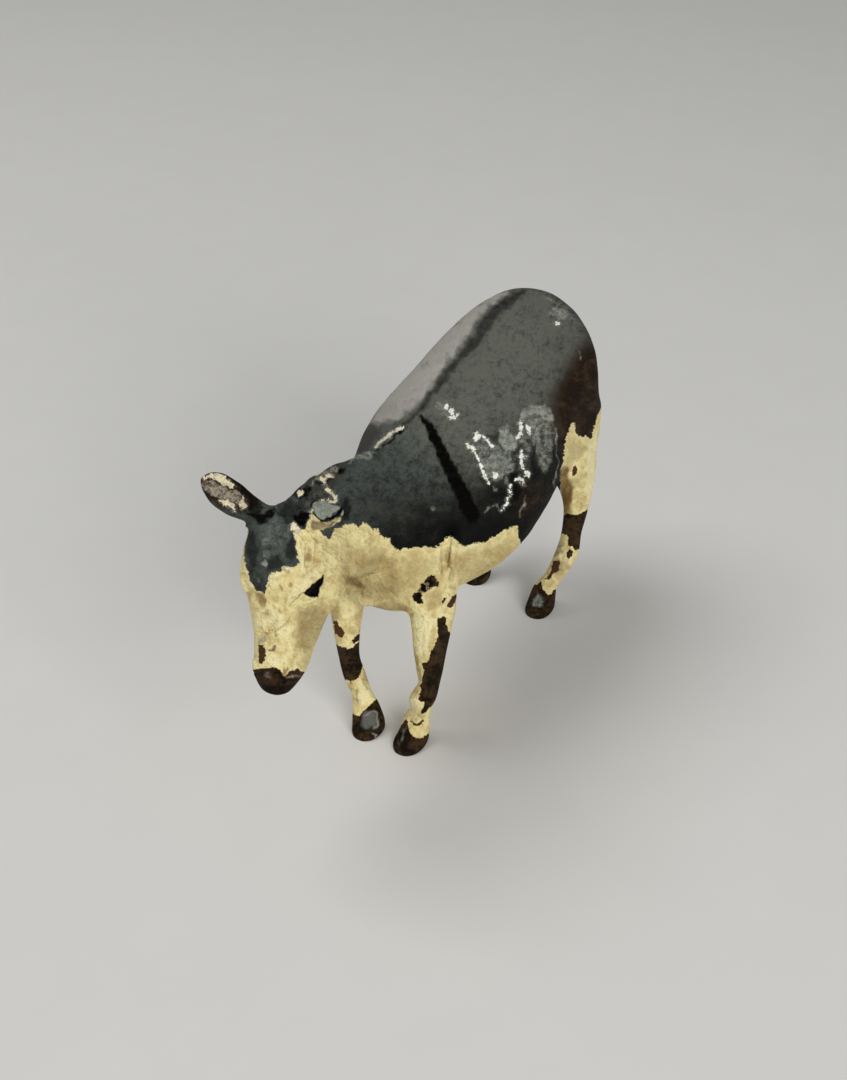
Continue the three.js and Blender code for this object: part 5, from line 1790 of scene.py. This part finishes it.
solder_finish = solder_metal("solder_metal")
solder_nodes = [node for node, slot in slots.items() if slot == "solder"]
for node in solder_nodes:
    for material_slot in bpy.data.objects[node].material_slots:
        material_slot.material = solder_finish
print(len(solder_nodes), "solder sleeves finished")

# %% [markdown]
# ## Table and light
# A plain pale table and soft light, as for a catalogue picture. A lamp this near must be weak: a
# lamp of P watts at a distance d lights a matt surface at its written colour when P is about ten
# times d squared. The world gives some of the light from all sides, a large lamp above and another
# in front give the rest.

# %% Floor
floor_half = 3.0
floor_colour, floor_shade = colour(226, 225, 221), colour(222, 221, 217)
floor_cloud_size = 9.0
floor_mesh = bpy.data.meshes.new("floor")
floor_corners = [(side_x * floor_half, side_y * floor_half, 0)
                 for side_x, side_y in ((-1, -1), (1, -1), (1, 1), (-1, 1))]
floor_mesh.from_pydata(floor_corners, [], [(0, 1, 2, 3)])
floor = bpy.data.objects.new("floor", floor_mesh)
bpy.context.scene.collection.objects.link(floor)
floor_finish, floor_tree, floor_shader, floor_place = new_finish("pale_table")
floor_paint = mixed(speckle(floor_place, floor_cloud_size), floor_colour, floor_shade)
floor_tree.links.new(floor_paint.socket, floor_shader.inputs["Base Color"])
floor_shader.inputs["Roughness"].default_value = 0.9
floor_mesh.materials.append(floor_finish)
print("floor", 2 * floor_half, "m wide")

# %% Lamps and world
level_watts = np.pi ** 2
world_level, world_colour = 0.25, colour(235, 236, 238)


def soft_lamp(name, towards, distance, size, level):
    """A square lamp at a distance along a direction from the figure, aimed at it, as bright as the
    level asks."""
    direction = np.array(towards) / np.linalg.norm(towards)
    lamp = bpy.data.lights.new(name, "AREA")
    lamp.size = size
    lamp.energy = level * level_watts * distance ** 2
    lamp_object = bpy.data.objects.new(name, lamp)
    lamp_object.location = to_metres(looked_at) + distance * direction
    lamp_object.rotation_euler = Vector(direction).to_track_quat("Z", "Y").to_euler()
    bpy.context.scene.collection.objects.link(lamp_object)


soft_lamp("overhead", towards=(0.2, -0.5, 1.0), distance=0.6, size=0.35, level=0.42)
soft_lamp("front", towards=(0.6, 0.75, 0.45), distance=0.7, size=0.4, level=0.62)
world = bpy.data.worlds.new("studio")
world.use_nodes = True
bpy.context.scene.world = world
background = next(node for node in world.node_tree.nodes if node.type == "BACKGROUND")
background.inputs["Color"].default_value = world_colour
background.inputs["Strength"].default_value = world_level
bpy.context.scene.view_settings.view_transform = "Standard"
print("lamps", [light.name for light in bpy.data.lights])

# %% [markdown]
# ## The end

# %% The end
print("the scene is built")
